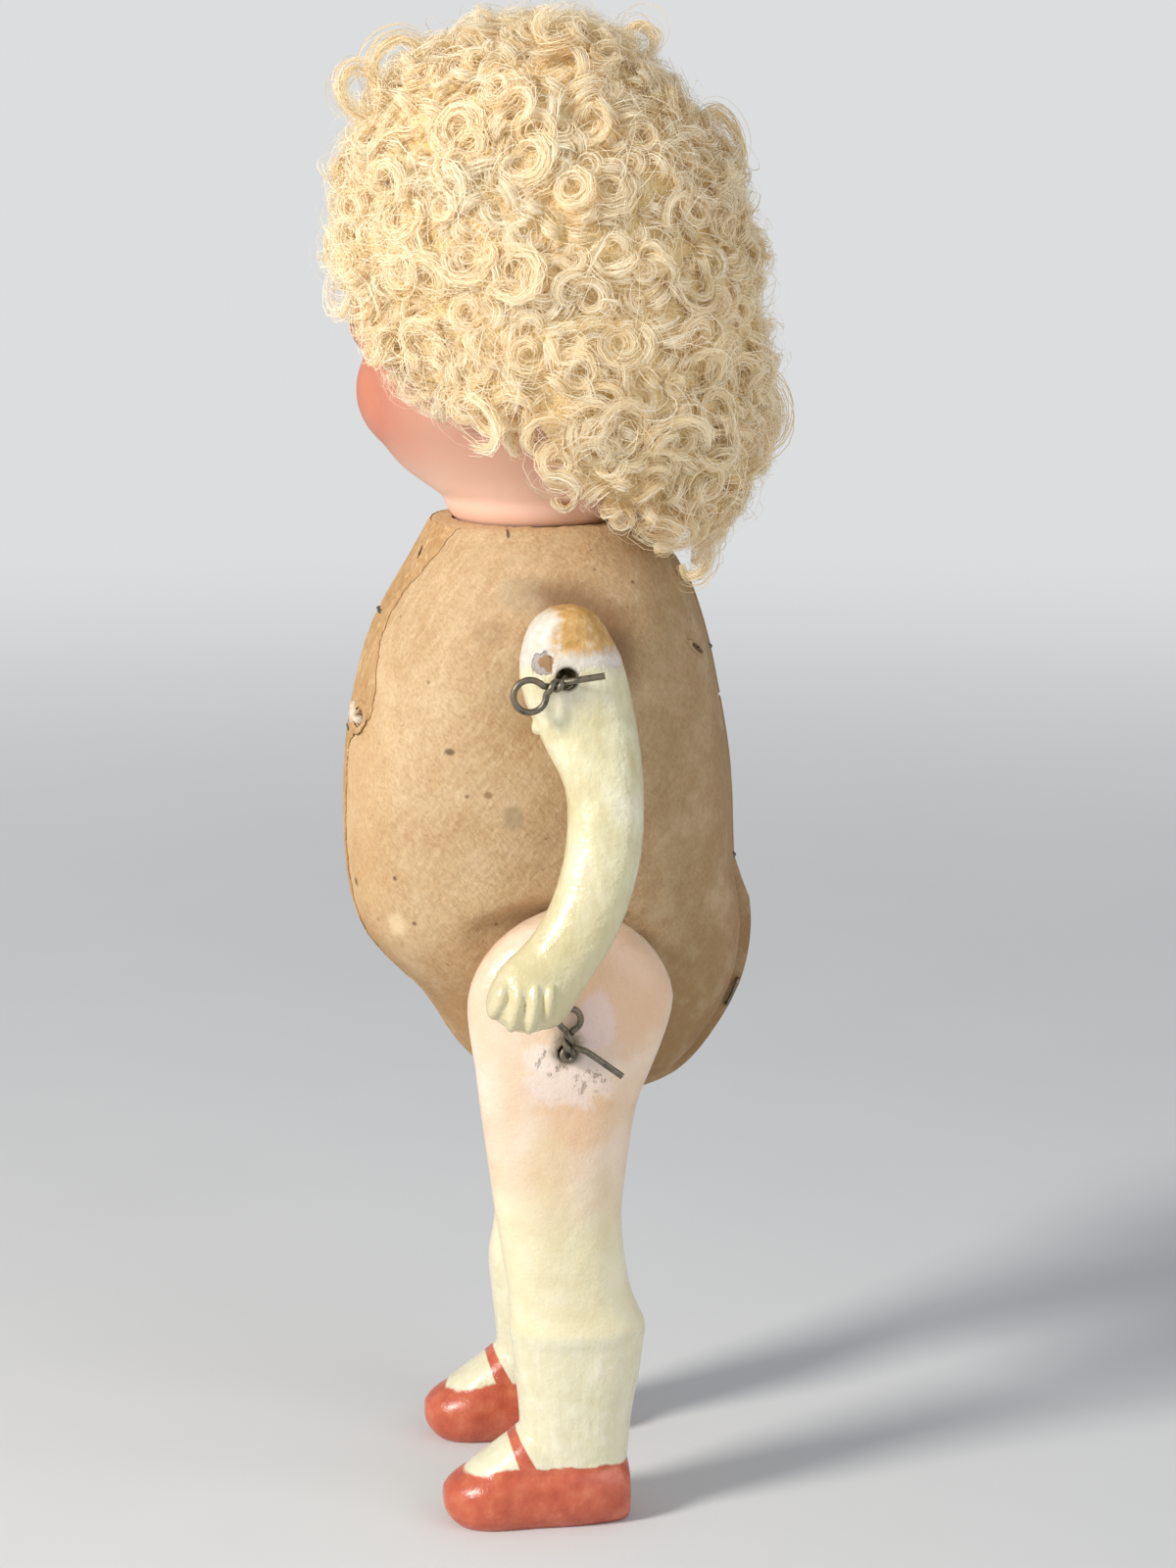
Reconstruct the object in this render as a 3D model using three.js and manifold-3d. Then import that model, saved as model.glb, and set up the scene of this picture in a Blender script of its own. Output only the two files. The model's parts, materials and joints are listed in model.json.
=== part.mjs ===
// A small old doll: a bisque socket head with a mohair wig, on a pressed-card body whose composition
// arms and legs turn on two wires.
// Millimetres, +Z up. The doll stands on its soles, faces -Y, and its left side is +X.

import * as THREE from "three";
import { mergeVertices } from "three/addons/utils/BufferGeometryUtils.js";
import Module from "manifold-3d";

const wasm = await Module();
wasm.setup();

// Clearances
const SEAT_GAP = 0.3; // between pieces that rest on each other
const SWING_GAP = 0.6; // between pieces that swing past each other
const WIRE_PLAY = 0.6; // round a wire in its hole
const KNOT_GAP = 0.55; // between a wire and itself where it crosses

// Wires
const WIRE_RADIUS = 0.43;
const ARM_LOOP_RADIUS = 1.5;
const ARM_LOOP_REACH = 4.3; // from the shoulder hole to the middle of the loop
const ARM_LOOP_TILT = 200; // degrees from straight back, turning up
const ARM_TAIL = 4.4;
const LEG_LOOP_RADIUS = 1.3;
const LEG_LOOP_REACH = 3.4;
const LEG_LOOP_TILT = 125;
const LEG_TAIL = 7.2;
const HOOK_EYE_RADIUS = 1.7;
const HOOK_TIP = 1.6; // how far the hook's end rises past the arm wire

// Heights above the floor
const HIP_HEIGHT = 65;
const RIM_HEIGHT = 128.5; // top of the body, where the neck sits
const SHOULDER_BELOW_RIM = 15.7;

// Where the joint wires cross the body, behind the neck's axis
const SHOULDER_BACK = 0.2;
const HIP_BACK = 0.8;

// Body of pressed card
const BODY_DEEP = 50.4;
const BODY_WIDE = 41.8;
const CARD = 1.5;
const SEAM_GAP = 0.3;
const RIM_WIDTH = 1.9;
const NECK_HOLE_DEPTH = 4.5; // through the card under the rim
const TORSO_SQUARENESS = 2.3;
const SHOULDER_SEAT_HALF = 20.1; // from the middle plane to the flat where an arm turns
const SHOULDER_SEAT_RADIUS = 9.4;
const HIP_SEAT_HALF = 15;
const FLANGE_RISE = 1.6;
const FLANGE_CARD = 0.9;
const FLANGE_BELOW_RIM = 7.5;
const FLANGE_FRONT = -7; // how far forward the flange runs under the body
const PAPER = 0.4;
const PAPER_HALF_WIDTH = 5.5;
const PAPER_BELOW_RIM = 2.5;
const PAPER_ABOVE_HIP = 11;

// Staples through the seam
const STAPLE_RADIUS = 0.25;
const STAPLE_SPAN = 3.6;
const STAPLE_CLINCH = 1;
const STAPLE_BEND = 0.4; // radius of its corners
const STAPLE_HOLE_RADIUS = 0.6;
const STAPLE_SLACK = 0.3; // how far the clinched ends stand off the card
const FRONT_STAPLES = { upper: 0.82, lower: 0.58 }; // heights as shares of the trunk, from the hip wire
const BACK_STAPLES = { upper: 0.73, middle: 0.3, lower: 0.016 };

// Head
const HEAD_TURN = -32; // degrees: the head looks to the doll's right
const BISQUE = 2.2;
const NECK_RADIUS = 12;
const NECK_LAP = 1; // how far the neck overhangs the hole that it sits in
const NECK_DOME = 6.5; // depth of the neck's rounded end
const NECK_TOP = 8; // above the rim
const NECK_BORE_RADIUS = 2.6;
const BUTTON_RADIUS = 6;
const BUTTON_THICK = 2.4;
const BUTTON_EDGE = 0.5;
const CROWN_CUT = 42.5; // above the rim
const PATE_CARD = 1.5;
const EYE_RADIUS = 5.2;
const EYE_GLASS = 0.9;
const EYE_STEM_RADIUS = 1.4;
const EYE_APART = 8.4; // from the middle of the face
const EYE_ABOVE_RIM = 25;
const EYE_FORWARD = 15.4;
const EYE_PLAY = 0.5; // round an eye in its socket
const PLASTER = 2;
const HEAD_SQUARENESS = 2.15;
const HEAD_TALL = 55.4; // from the rim to the crown
const HEAD_DEEP = 44.4;
const HEAD_WIDE = 45;
const HEAD_STATIONS = [ // shares of these three
  { up: 0.065, front: -0.279, back: 0.27, half: 0.276 },
  { up: 0.101, front: -0.369, back: 0.329, half: 0.36 },
  { up: 0.144, front: -0.419, back: 0.383, half: 0.409 },
  { up: 0.208, front: -0.455, back: 0.437, half: 0.458 },
  { up: 0.316, front: -0.471, back: 0.482, half: 0.493 },
  { up: 0.478, front: -0.473, back: 0.518, half: 0.5 },
  { up: 0.632, front: -0.477, back: 0.523, half: 0.493 },
  { up: 0.776, front: -0.428, back: 0.482, half: 0.44 },
  { up: 0.903, front: -0.311, back: 0.374, half: 0.329 },
  { up: 0.975, front: -0.167, back: 0.234, half: 0.191 },
  { up: 1, front: -0.045, back: 0.113, half: 0.076 },
];
const FACE_BUMPS = [ // as shares of the head's width
  { size: [0.2, 0.2, 0.19], side: 0.169, forward: 0.258, up: 0.358 }, // left cheek
  { size: [0.2, 0.2, 0.19], side: -0.169, forward: 0.258, up: 0.358 }, // right cheek
  { size: [0.11, 0.098, 0.08], side: 0, forward: 0.382, up: 0.224 }, // chin
  { size: [0.047, 0.053, 0.044], side: 0, forward: 0.467, up: 0.491 }, // nose
  { size: [0.089, 0.033, 0.024], side: 0, forward: 0.453, up: 0.358 }, // upper lip
  { size: [0.067, 0.036, 0.027], side: 0, forward: 0.449, up: 0.309 }, // lower lip
];

// Outline of the body from the seat up: heights as shares of the trunk from the hip wire to the rim,
// depths and half widths as shares of the body's depth and width
const TORSO_STATIONS = [
  { up: -0.167, front: -0.02, back: 0.258, half: 0.156 },
  { up: -0.135, front: -0.127, back: 0.361, half: 0.244 },
  { up: -0.069, front: -0.218, back: 0.44, half: 0.316 },
  { up: 0.039, front: -0.313, back: 0.5, half: 0.368 },
  { up: 0.157, front: -0.456, back: 0.524, half: 0.402 },
  { up: 0.283, front: -0.5, back: 0.5, half: 0.44 },
  { up: 0.485, front: -0.5, back: 0.488, half: 0.498 },
  { up: 0.643, front: -0.474, back: 0.456, half: 0.5 },
  { up: 0.784, front: -0.415, back: 0.421, half: 0.486 },
  { up: 0.913, front: -0.315, back: 0.361, half: 0.411 },
];

// Wig; the stations hold shares of its height over the rim, depth and width
const GAUZE = 0.7;
const HAIRLINE_ABOVE_RIM = 26; // where the cap's edge crosses the neck's axis
const HAIRLINE_SLOPE = 31; // degrees, from the forehead down to the nape
const HAIR_ON_CROWN = 6.9; // how far the hair stands out over the head
const HAIR_BEFORE_AND_BEHIND = 8.1;
const HAIR_BESIDE = 6.7;
const WIG_STATIONS = [
  { up: 1, front: -0.017, back: 0.066, half: 0.043 },
  { up: 0.976, front: -0.145, back: 0.188, half: 0.171 },
  { up: 0.896, front: -0.31, back: 0.337, half: 0.332 },
  { up: 0.762, front: -0.409, back: 0.439, half: 0.432 },
  { up: 0.602, front: -0.449, back: 0.505, half: 0.483 },
  { up: 0.441, front: -0.432, back: 0.535, half: 0.5 },
  { up: 0.281, front: -0.333, back: 0.551, half: 0.5 },
  { up: 0.152, front: -0.142, back: 0.545, half: 0.462 },
  { up: 0.04, front: 0.05, back: 0.502, half: 0.365 },
  { up: -0.056, front: 0.198, back: 0.439, half: 0.223 },
  { up: -0.101, front: 0.281, back: 0.376, half: 0.086 },
];
const CURL_RISE = 1.3;
const CURLS_ROUND = 12;
const CURL_SIDES = 3; // facets across a curl
const CURL_RINGS = 2;
const FACE_OPENING = { size: [0.334, 0.377, 0.257], forward: 0.428, up: 0.231 }; // shares of the wig's width
const CROWN_HAIR_ABOVE_RIM = 44.5;
const SIDE_HAIR_HALF = 10.5; // the side locks' reach to the front and to the back
const HAIR_PART = 0.3; // between neighbouring wefts
const SHOULDER_CLEAR = 1.4; // between the hair and the turning shoulders

// Arms, about the shoulder wire: places as shares of the arm's length, half sizes of its greatest width
const ARM_LONG = 50;
const ARM_WIDE = 12.6;
const ARM_STATIONS = [
  { back: 0.002, up: 0.158, deep: 0.127, thick: 0.175 },
  { back: 0.006, up: 0.124, deep: 0.333, thick: 0.325 },
  { back: 0.02, up: 0.01, deep: 0.5, thick: 0.405 },
  { back: 0.062, up: -0.13, deep: 0.468, thick: 0.389 },
  { back: 0.098, up: -0.27, deep: 0.381, thick: 0.365 },
  { back: 0.092, up: -0.43, deep: 0.365, thick: 0.349 },
  { back: 0.046, up: -0.58, deep: 0.357, thick: 0.325 },
  { back: -0.024, up: -0.692, deep: 0.349, thick: 0.302 },
  { back: -0.084, up: -0.78, deep: 0.405, thick: 0.325 },
  { back: -0.126, up: -0.84, deep: 0.27, thick: 0.238 },
];
const FINGER_LENGTH = 3.1;
const FINGER_PITCH = 2.3;
const FINGER_THICK = 3.1;
const FINGER_LAP = 0.14; // how far neighbouring fingers run into each other
const FINGER_STAGGER = 0.5; // how much shorter the outer fingers are
const FINGER_GIRTHS = [0.1, 0.8, 1, 0.85, 0.3]; // along a finger, as shares of its thickest place
const ARM_SQUARENESS = 2.2;
const ARM_SPLAY_POWER = 0.85; // under 1: the arm leans out most just below the shoulder

// Legs, about the hip wire; heights are above the floor
const THIGH_RADIUS = 12.6;
const THIGH_BACK = 1.3; // the thigh's round top lies behind and above the wire
const THIGH_UP = 4;
const THIGH_THICK = 10.2;
const THIGH_EDGE = 2.6; // rounding of the thigh's rim
const THIGH_LOW = { below: 3, front: -10.8, back: 12 }; // just under the hip wire
const KNEE = { height: 42, front: -7.6, back: 8.2, half: 5.7, out: 17.4 };
const CALF = { height: 31, front: -6.6, back: 9.4, half: 5.6, out: 16.2 };
const SOCK_TOP = { height: 26.3, front: -6.3, back: 11.2, half: 6.4, out: 15.6 };
const SOCK = { height: 23.5, front: -5.6, back: 10.5, half: 5.7, out: 15.4 };
const ANKLE = { height: 14, front: -5.1, back: 9.8, half: 5.2, out: 15.2 };
const HEEL = { height: 4, front: -5, back: 9, half: 4.4, out: 15.2 };
const LEG_SQUARENESS = 2.3;
const FOOT_MIDDLE = 15.2; // from the middle plane
const FOOT_SQUARENESS = 2.5;
const FOOT_RING_MIDDLE = 0.3; // height of a foot ring's middle, as a share of its top's height
const FOOT_LONG = 23.5;
const FOOT_WIDE = 12;
const FOOT_TALL = 10.5;
const FOOT_STATIONS = [
  { back: 0.387, half: 0.217, top: 0.59 },
  { back: 0.34, half: 0.383, top: 0.762 },
  { back: 0.128, half: 0.467, top: 1 },
  { back: -0.17, half: 0.475, top: 0.914 },
  { back: -0.383, half: 0.5, top: 0.724 },
  { back: -0.536, half: 0.4, top: 0.59 },
  { back: -0.613, half: 0.183, top: 0.438 },
];

// Faceting
const TORSO_SIDES = 24;
const HEAD_SIDES = 22;
const LIMB_SIDES = 14;
const BALL_SIDES = 12;
const WIRE_SIDES = 6;
const HOLE_SIDES = 12;
const WIG_STEPS = 2; // rings to a station
const KNOT_STEPS = 12; // points round a wire's loop
const WELD = 1e-5; // corners nearer than this are one

const UP = new THREE.Vector3(0, 0, 1);
const LEFT = new THREE.Vector3(1, 0, 0);
const BACK = new THREE.Vector3(0, 1, 0);
const ASKEW = new THREE.Vector3(0.31, 0.52, 0.79); // no bar runs this way
const FAR = 400; // larger than the doll, for cutting slabs

const shoulderHeight = RIM_HEIGHT - SHOULDER_BELOW_RIM;
const trunkTall = RIM_HEIGHT - HIP_HEIGHT;
const rimMiddle = new THREE.Vector3(0, 0, RIM_HEIGHT);
const wigTall = HEAD_TALL + HAIR_ON_CROWN;
const wigDeep = HEAD_DEEP + 2 * HAIR_BEFORE_AND_BEHIND;
const wigWide = HEAD_WIDE + 2 * HAIR_BESIDE;

// Rings in millimetres, from stations that hold shares of a height, a depth and a width.
function sized(stations, base, tall, deep, wide) {
  return stations.map(({ up, front, back, half }) => ({
    height: base + up * tall,
    front: front * deep,
    back: back * deep,
    half: half * wide,
  }));
}

// Solids

function solid(geometry) {
  const bare = geometry.clone();
  bare.deleteAttribute("normal");
  bare.deleteAttribute("uv");
  const merged = mergeVertices(bare, WELD);
  const vertProperties = new Float32Array(merged.attributes.position.array);
  const triVerts = new Uint32Array(merged.index.array);
  return new wasm.Manifold(new wasm.Mesh({ numProp: 3, vertProperties, triVerts }));
}

function geometryOf(body) {
  const { vertProperties, triVerts } = body.getMesh();
  const geometry = new THREE.BufferGeometry();
  geometry.setAttribute("position", new THREE.BufferAttribute(new Float32Array(vertProperties), 3));
  geometry.setIndex(new THREE.BufferAttribute(new Uint32Array(triVerts), 1));
  geometry.computeVertexNormals();
  return geometry;
}

function facingOut(geometry) {
  const place = geometry.attributes.position;
  const index = geometry.index.array;
  const corner = (n) => new THREE.Vector3().fromBufferAttribute(place, index[n]);
  let volume = 0;
  for (let n = 0; n < index.length; n += 3) {
    volume += corner(n).dot(corner(n + 1).cross(corner(n + 2)));
  }
  if (volume < 0) index.reverse();
  return geometry;
}

// A closed skin over rings of equally many points, with a fan over each end.
function loft(rings) {
  const sides = rings[0].length;
  const middle = (ring) => ring.reduce((sum, p) => sum.add(p), new THREE.Vector3()).divideScalar(sides);
  const points = [...rings.flat(), middle(rings[0]), middle(rings.at(-1))];
  const index = [];
  for (let k = 0; k < sides; k += 1) {
    const next = (k + 1) % sides;
    for (let r = 0; r < (rings.length - 1) * sides; r += sides) {
      index.push(r + k, r + next, r + sides + next, r + k, r + sides + next, r + sides + k);
    }
    const last = (rings.length - 1) * sides;
    index.push(points.length - 2, next, k, points.length - 1, last + k, last + next);
  }
  return facingOut(new THREE.BufferGeometry().setFromPoints(points).setIndex(index));
}

// A ring of points on an oval, squarer than an ellipse where squareness is over 2.
function oval(middle, across, along, halfAcross, halfAlong, sides, squareness = 2) {
  const bulge = (value) => Math.sign(value) * Math.abs(value) ** (2 / squareness);
  return Array.from({ length: sides }, (_, k) => {
    const angle = (2 * Math.PI * (k + 0.5)) / sides;
    return middle
      .clone()
      .addScaledVector(across, halfAcross * bulge(Math.cos(angle)))
      .addScaledVector(along, halfAlong * bulge(Math.sin(angle)));
  });
}

// A level oval ring that reaches from front to back.
function levelRing({ height, front, back, half, out = 0 }, sides, squareness) {
  const middle = new THREE.Vector3(out, (front + back) / 2, height);
  return oval(middle, LEFT, BACK, half, (back - front) / 2, sides, squareness);
}

// Stations made smooth: each of their values runs through the list on a cubic curve.
function smooth(stations, steps) {
  const spans = stations.length - 1;
  const at = (i) => stations[THREE.MathUtils.clamp(i, 0, spans)];
  return Array.from({ length: spans * steps + 1 }, (_, n) => {
    const i = Math.min(Math.floor(n / steps), spans - 1);
    const t = n / steps - i;
    const mixed = Object.keys(stations[0]).map((key) => {
      const [a, b, c, d] = [at(i - 1)[key], at(i)[key], at(i + 1)[key], at(i + 2)[key]];
      const lead = (c - a) / 2;
      const trail = (d - b) / 2;
      const bend = 3 * (c - b) - 2 * lead - trail;
      return [key, b + t * lead + t ** 2 * bend + t ** 3 * (2 * (b - c) + lead + trail)];
    });
    return Object.fromEntries(mixed);
  });
}

// A round bar along a list of points, with its ends square.
function bar(points, radius, sides = WIRE_SIDES) {
  const way = (n) => points[Math.min(n + 1, points.length - 1)].clone().sub(points[Math.max(n - 1, 0)]);
  let across = ASKEW;
  const rings = points.map((point, n) => {
    const ahead = way(n).normalize();
    across = across.clone().addScaledVector(ahead, -across.dot(ahead)).normalize();
    return oval(point, across, ahead.clone().cross(across), radius, radius, sides);
  });
  return solid(loft(rings));
}

// A path whose corners are rounded off.
function rounded(points, radius) {
  const turn = (n) => {
    const towards = (p) => points[n].clone().addScaledVector(p.clone().sub(points[n]).normalize(), radius);
    const curve = new THREE.QuadraticBezierCurve3(towards(points[n - 1]), points[n], towards(points[n + 1]));
    return curve.getPoints(2);
  };
  return points.flatMap((p, n) => (n === 0 || n === points.length - 1 ? [p] : turn(n)));
}

function ball(size, middle, sides = BALL_SIDES) {
  const geometry = new THREE.SphereGeometry(1, sides, Math.ceil(sides / 1.6));
  return solid(geometry.scale(size.x, size.y, size.z).translate(middle.x, middle.y, middle.z));
}

function box(low, high) {
  const size = high.clone().sub(low);
  const middle = low.clone().add(high).divideScalar(2);
  return solid(new THREE.BoxGeometry(size.x, size.y, size.z).translate(middle.x, middle.y, middle.z));
}

function turned(profile, sides) {
  const geometry = new THREE.LatheGeometry(profile, sides);
  return solid(facingOut(geometry.rotateX(Math.PI / 2)));
}

// A hole along X, from one distance out to another.
function sideHole(radius, back, height, from, to) {
  const ends = [from, to].map((x) => new THREE.Vector3(x, back, height));
  return bar(ends, radius, HOLE_SIDES);
}

// Torso

const neckHoleRadius = NECK_RADIUS - NECK_LAP;
const rimRadius = neckHoleRadius + RIM_WIDTH;
const thighReach = THIGH_RADIUS + Math.hypot(THIGH_BACK, THIGH_UP);
const hipSeatRadius = thighReach + SWING_GAP;
const torsoRings = [
  ...sized(TORSO_STATIONS, HIP_HEIGHT, trunkTall, BODY_DEEP, BODY_WIDE),
  { height: RIM_HEIGHT, front: -rimRadius, back: rimRadius, half: rimRadius },
];

// The body's outside, grown or shrunk all round.
function torsoForm(grow) {
  const rings = torsoRings.map((station, n, all) => {
    const end = n === 0 ? -1 : Number(n === all.length - 1);
    return {
      height: station.height + end * grow,
      front: station.front - grow,
      back: station.back + grow,
      half: station.half + grow,
    };
  });
  return solid(loft(rings.map((ring) => levelRing(ring, TORSO_SIDES, TORSO_SQUARENESS))));
}

// The flats in the body's sides where the limbs turn, deeper by the given wall for the inside.
function limbSeats(wall) {
  const seats = [1, -1].flatMap((side) => [
    sideHole(SHOULDER_SEAT_RADIUS + wall, SHOULDER_BACK, shoulderHeight,
      side * (SHOULDER_SEAT_HALF - wall), side * FAR),
    sideHole(hipSeatRadius + wall, HIP_BACK, HIP_HEIGHT, side * (HIP_SEAT_HALF - wall), side * FAR),
  ]);
  return seats.reduce((all, seat) => all.add(seat));
}

// The middle-plane outline at a height: its place at the front or back, and which way faces out.
function seamPoint(height, end) {
  const n = torsoRings.findIndex((ring) => ring.height >= height);
  const [low, high] = [torsoRings[n - 1], torsoRings[n]];
  const share = (height - low.height) / (high.height - low.height);
  const place = new THREE.Vector3(0, THREE.MathUtils.lerp(low[end], high[end], share), height);
  const along = new THREE.Vector3(0, high[end] - low[end], high.height - low.height).normalize();
  const out = new THREE.Vector3(0, along.z, -along.y).multiplyScalar(end === "front" ? -1 : 1);
  return { place, along, out };
}

// A staple's path: crown, two legs and the clinched ends.
function staplePath(crown, along, inward, depth) {
  const point = (a, b) => crown.clone().addScaledVector(along, a).addScaledVector(inward, b);
  const half = STAPLE_SPAN / 2;
  return [
    point(half - STAPLE_CLINCH, depth), point(half, depth), point(half, 0),
    point(-half, 0), point(-half, depth), point(STAPLE_CLINCH - half, depth),
  ];
}

const crownLift = SEAT_GAP + STAPLE_RADIUS;

function frontStaple(share) {
  const { place, out } = seamPoint(HIP_HEIGHT + share * trunkTall, "front");
  const lift = SEAT_GAP + PAPER + crownLift;
  const crown = place.clone().addScaledVector(out, lift);
  return staplePath(crown, LEFT, out.clone().negate(), lift + CARD + crownLift + STAPLE_SLACK);
}

function backStaple(share) {
  const { place, along, out } = seamPoint(HIP_HEIGHT + share * trunkTall, "back");
  const side = SEAM_GAP / 2 + FLANGE_CARD + crownLift;
  const crown = place.clone().addScaledVector(out, FLANGE_RISE / 2).addScaledVector(LEFT, side);
  return staplePath(crown, along, LEFT.clone().negate(), 2 * side);
}

const staplePaths = Object.fromEntries([
  ...Object.entries(FRONT_STAPLES).map(([name, share]) => [`front_staple_${name}`, frontStaple(share)]),
  ...Object.entries(BACK_STAPLES).map(([name, share]) => [`back_staple_${name}`, backStaple(share)]),
]);

function stapleHoles() {
  const legs = Object.values(staplePaths).flatMap((path) => [[path[1], path[2]], [path[3], path[4]]]);
  return legs.map((leg) => bar(leg, STAPLE_HOLE_RADIUS)).reduce((all, hole) => all.add(hole));
}

function torsoHalf(side, holes) {
  const slab = (from, to) => box(
    new THREE.Vector3(Math.min(side * from, side * to), -FAR, 0),
    new THREE.Vector3(Math.max(side * from, side * to), FAR, FAR),
  );
  const flangeTop = RIM_HEIGHT - FLANGE_BELOW_RIM;
  const flangeZone = box(new THREE.Vector3(-FAR, FLANGE_FRONT, 0), new THREE.Vector3(FAR, FAR, flangeTop));
  const flange = torsoForm(FLANGE_RISE)
    .intersect(slab(SEAM_GAP / 2, SEAM_GAP / 2 + FLANGE_CARD))
    .intersect(flangeZone);
  const inside = torsoForm(-CARD).subtract(limbSeats(CARD));
  const neckHole = turned([
    new THREE.Vector2(0, RIM_HEIGHT - NECK_HOLE_DEPTH),
    new THREE.Vector2(neckHoleRadius, RIM_HEIGHT - NECK_HOLE_DEPTH),
    new THREE.Vector2(neckHoleRadius, RIM_HEIGHT + CARD), new THREE.Vector2(0, RIM_HEIGHT + CARD),
  ], HEAD_SIDES);
  return torsoForm(0)
    .subtract(limbSeats(0))
    .intersect(slab(SEAM_GAP / 2, FAR))
    .add(flange)
    .subtract(inside)
    .subtract(neckHole)
    .subtract(holes)
    .subtract(sideHole(WIRE_RADIUS + WIRE_PLAY, SHOULDER_BACK, shoulderHeight, 0, side * FAR))
    .subtract(sideHole(WIRE_RADIUS + WIRE_PLAY, HIP_BACK, HIP_HEIGHT, 0, side * FAR));
}

function seamPaper(holes) {
  const strip = box(
    new THREE.Vector3(-PAPER_HALF_WIDTH, -FAR, HIP_HEIGHT + PAPER_ABOVE_HIP),
    new THREE.Vector3(PAPER_HALF_WIDTH, 0, RIM_HEIGHT - PAPER_BELOW_RIM),
  );
  return torsoForm(SEAT_GAP + PAPER).subtract(torsoForm(SEAT_GAP)).intersect(strip).subtract(holes);
}

// Joint wires

const armRings = ARM_STATIONS.map(({ back, up, deep, thick }) => ({
  back: back * ARM_LONG,
  up: up * ARM_LONG,
  deep: deep * ARM_WIDE,
  thick: thick * ARM_WIDE,
}));
const armOuter = SHOULDER_SEAT_HALF + SEAT_GAP + 2 * Math.max(...armRings.map((ring) => ring.thick));
const legOuter = HIP_SEAT_HALF + SEAT_GAP + THIGH_THICK;
const knotDepth = 4 * WIRE_RADIUS + KNOT_GAP;
const legKnotOuter = legOuter + SEAT_GAP + knotDepth;

// One end of a joint wire: out through the limb, once round a loop, back over itself and out to a tail.
function knot(outer, loopRadius, reach, tilt, tail) {
  const near = outer + SEAT_GAP + WIRE_RADIUS;
  const far = near + 2 * WIRE_RADIUS + KNOT_GAP;
  const bend = 2 * WIRE_RADIUS;
  const spread = Math.asin(loopRadius / reach);
  const straight = reach * Math.cos(spread);
  const lean = THREE.MathUtils.degToRad(tilt);
  const point = (x, distance, angle) => new THREE.Vector3(
    x, distance * Math.cos(lean + angle), distance * Math.sin(lean + angle));
  const points = [point(near - bend, 0, 0)];
  for (const turn of [30, 60, 90].map(THREE.MathUtils.degToRad)) {
    points.push(point(near - bend * (1 - Math.sin(turn)), bend * (1 - Math.cos(turn)), -spread));
  }
  const middle = point(near, reach, 0);
  for (let n = 0; n <= KNOT_STEPS; n += 1) {
    const share = n / KNOT_STEPS;
    const angle = share * (Math.PI + 2 * spread) - Math.PI / 2 - spread;
    const x = THREE.MathUtils.lerp(near, far, share);
    points.push(point(0, loopRadius, angle).add(middle).setX(x));
  }
  points.push(point(far, straight / 2, spread), point(far, 0, 0), point(far, -tail, spread));
  return points;
}

function jointWire(back, height, end) {
  const other = end.map((p) => p.clone().setX(-p.x)).reverse();
  return [...other, ...end].map((p) => p.add(new THREE.Vector3(0, back, height)));
}

const armWirePath = jointWire(SHOULDER_BACK, shoulderHeight,
  knot(armOuter, ARM_LOOP_RADIUS, ARM_LOOP_REACH, ARM_LOOP_TILT, ARM_TAIL));
const legWirePath = jointWire(HIP_BACK, HIP_HEIGHT,
  knot(legOuter, LEG_LOOP_RADIUS, LEG_LOOP_REACH, LEG_LOOP_TILT, LEG_TAIL));

// Neck

const neckMiddle = RIM_HEIGHT + NECK_DOME * Math.sqrt(1 - ((neckHoleRadius - SEAT_GAP) / NECK_RADIUS) ** 2);

function neckForm(wall, top) {
  const radius = NECK_RADIUS - wall;
  const dome = NECK_DOME - wall;
  const profile = [new THREE.Vector2(0, neckMiddle - dome)];
  for (const angle of [75, 60, 45, 30, 15, 0].map(THREE.MathUtils.degToRad)) {
    profile.push(new THREE.Vector2(radius * Math.cos(angle), neckMiddle - dome * Math.sin(angle)));
  }
  profile.push(new THREE.Vector2(radius, top), new THREE.Vector2(0, top));
  return turned(profile, HEAD_SIDES);
}

const boreRadius = NECK_RADIUS - BISQUE;
const boreDome = NECK_DOME - BISQUE;
const buttonBottom = neckMiddle - boreDome * Math.sqrt(1 - (BUTTON_RADIUS / boreRadius) ** 2) + SEAT_GAP;
const buttonTop = buttonBottom + BUTTON_THICK;
const pinRadius = WIRE_RADIUS + WIRE_PLAY;

function neckButton() {
  return turned([
    new THREE.Vector2(pinRadius, buttonBottom), new THREE.Vector2(BUTTON_RADIUS, buttonBottom),
    new THREE.Vector2(BUTTON_RADIUS, buttonTop - BUTTON_EDGE),
    new THREE.Vector2(BUTTON_RADIUS - BUTTON_EDGE, buttonTop),
    new THREE.Vector2(pinRadius, buttonTop), new THREE.Vector2(pinRadius, buttonBottom),
  ], HEAD_SIDES);
}

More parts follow.
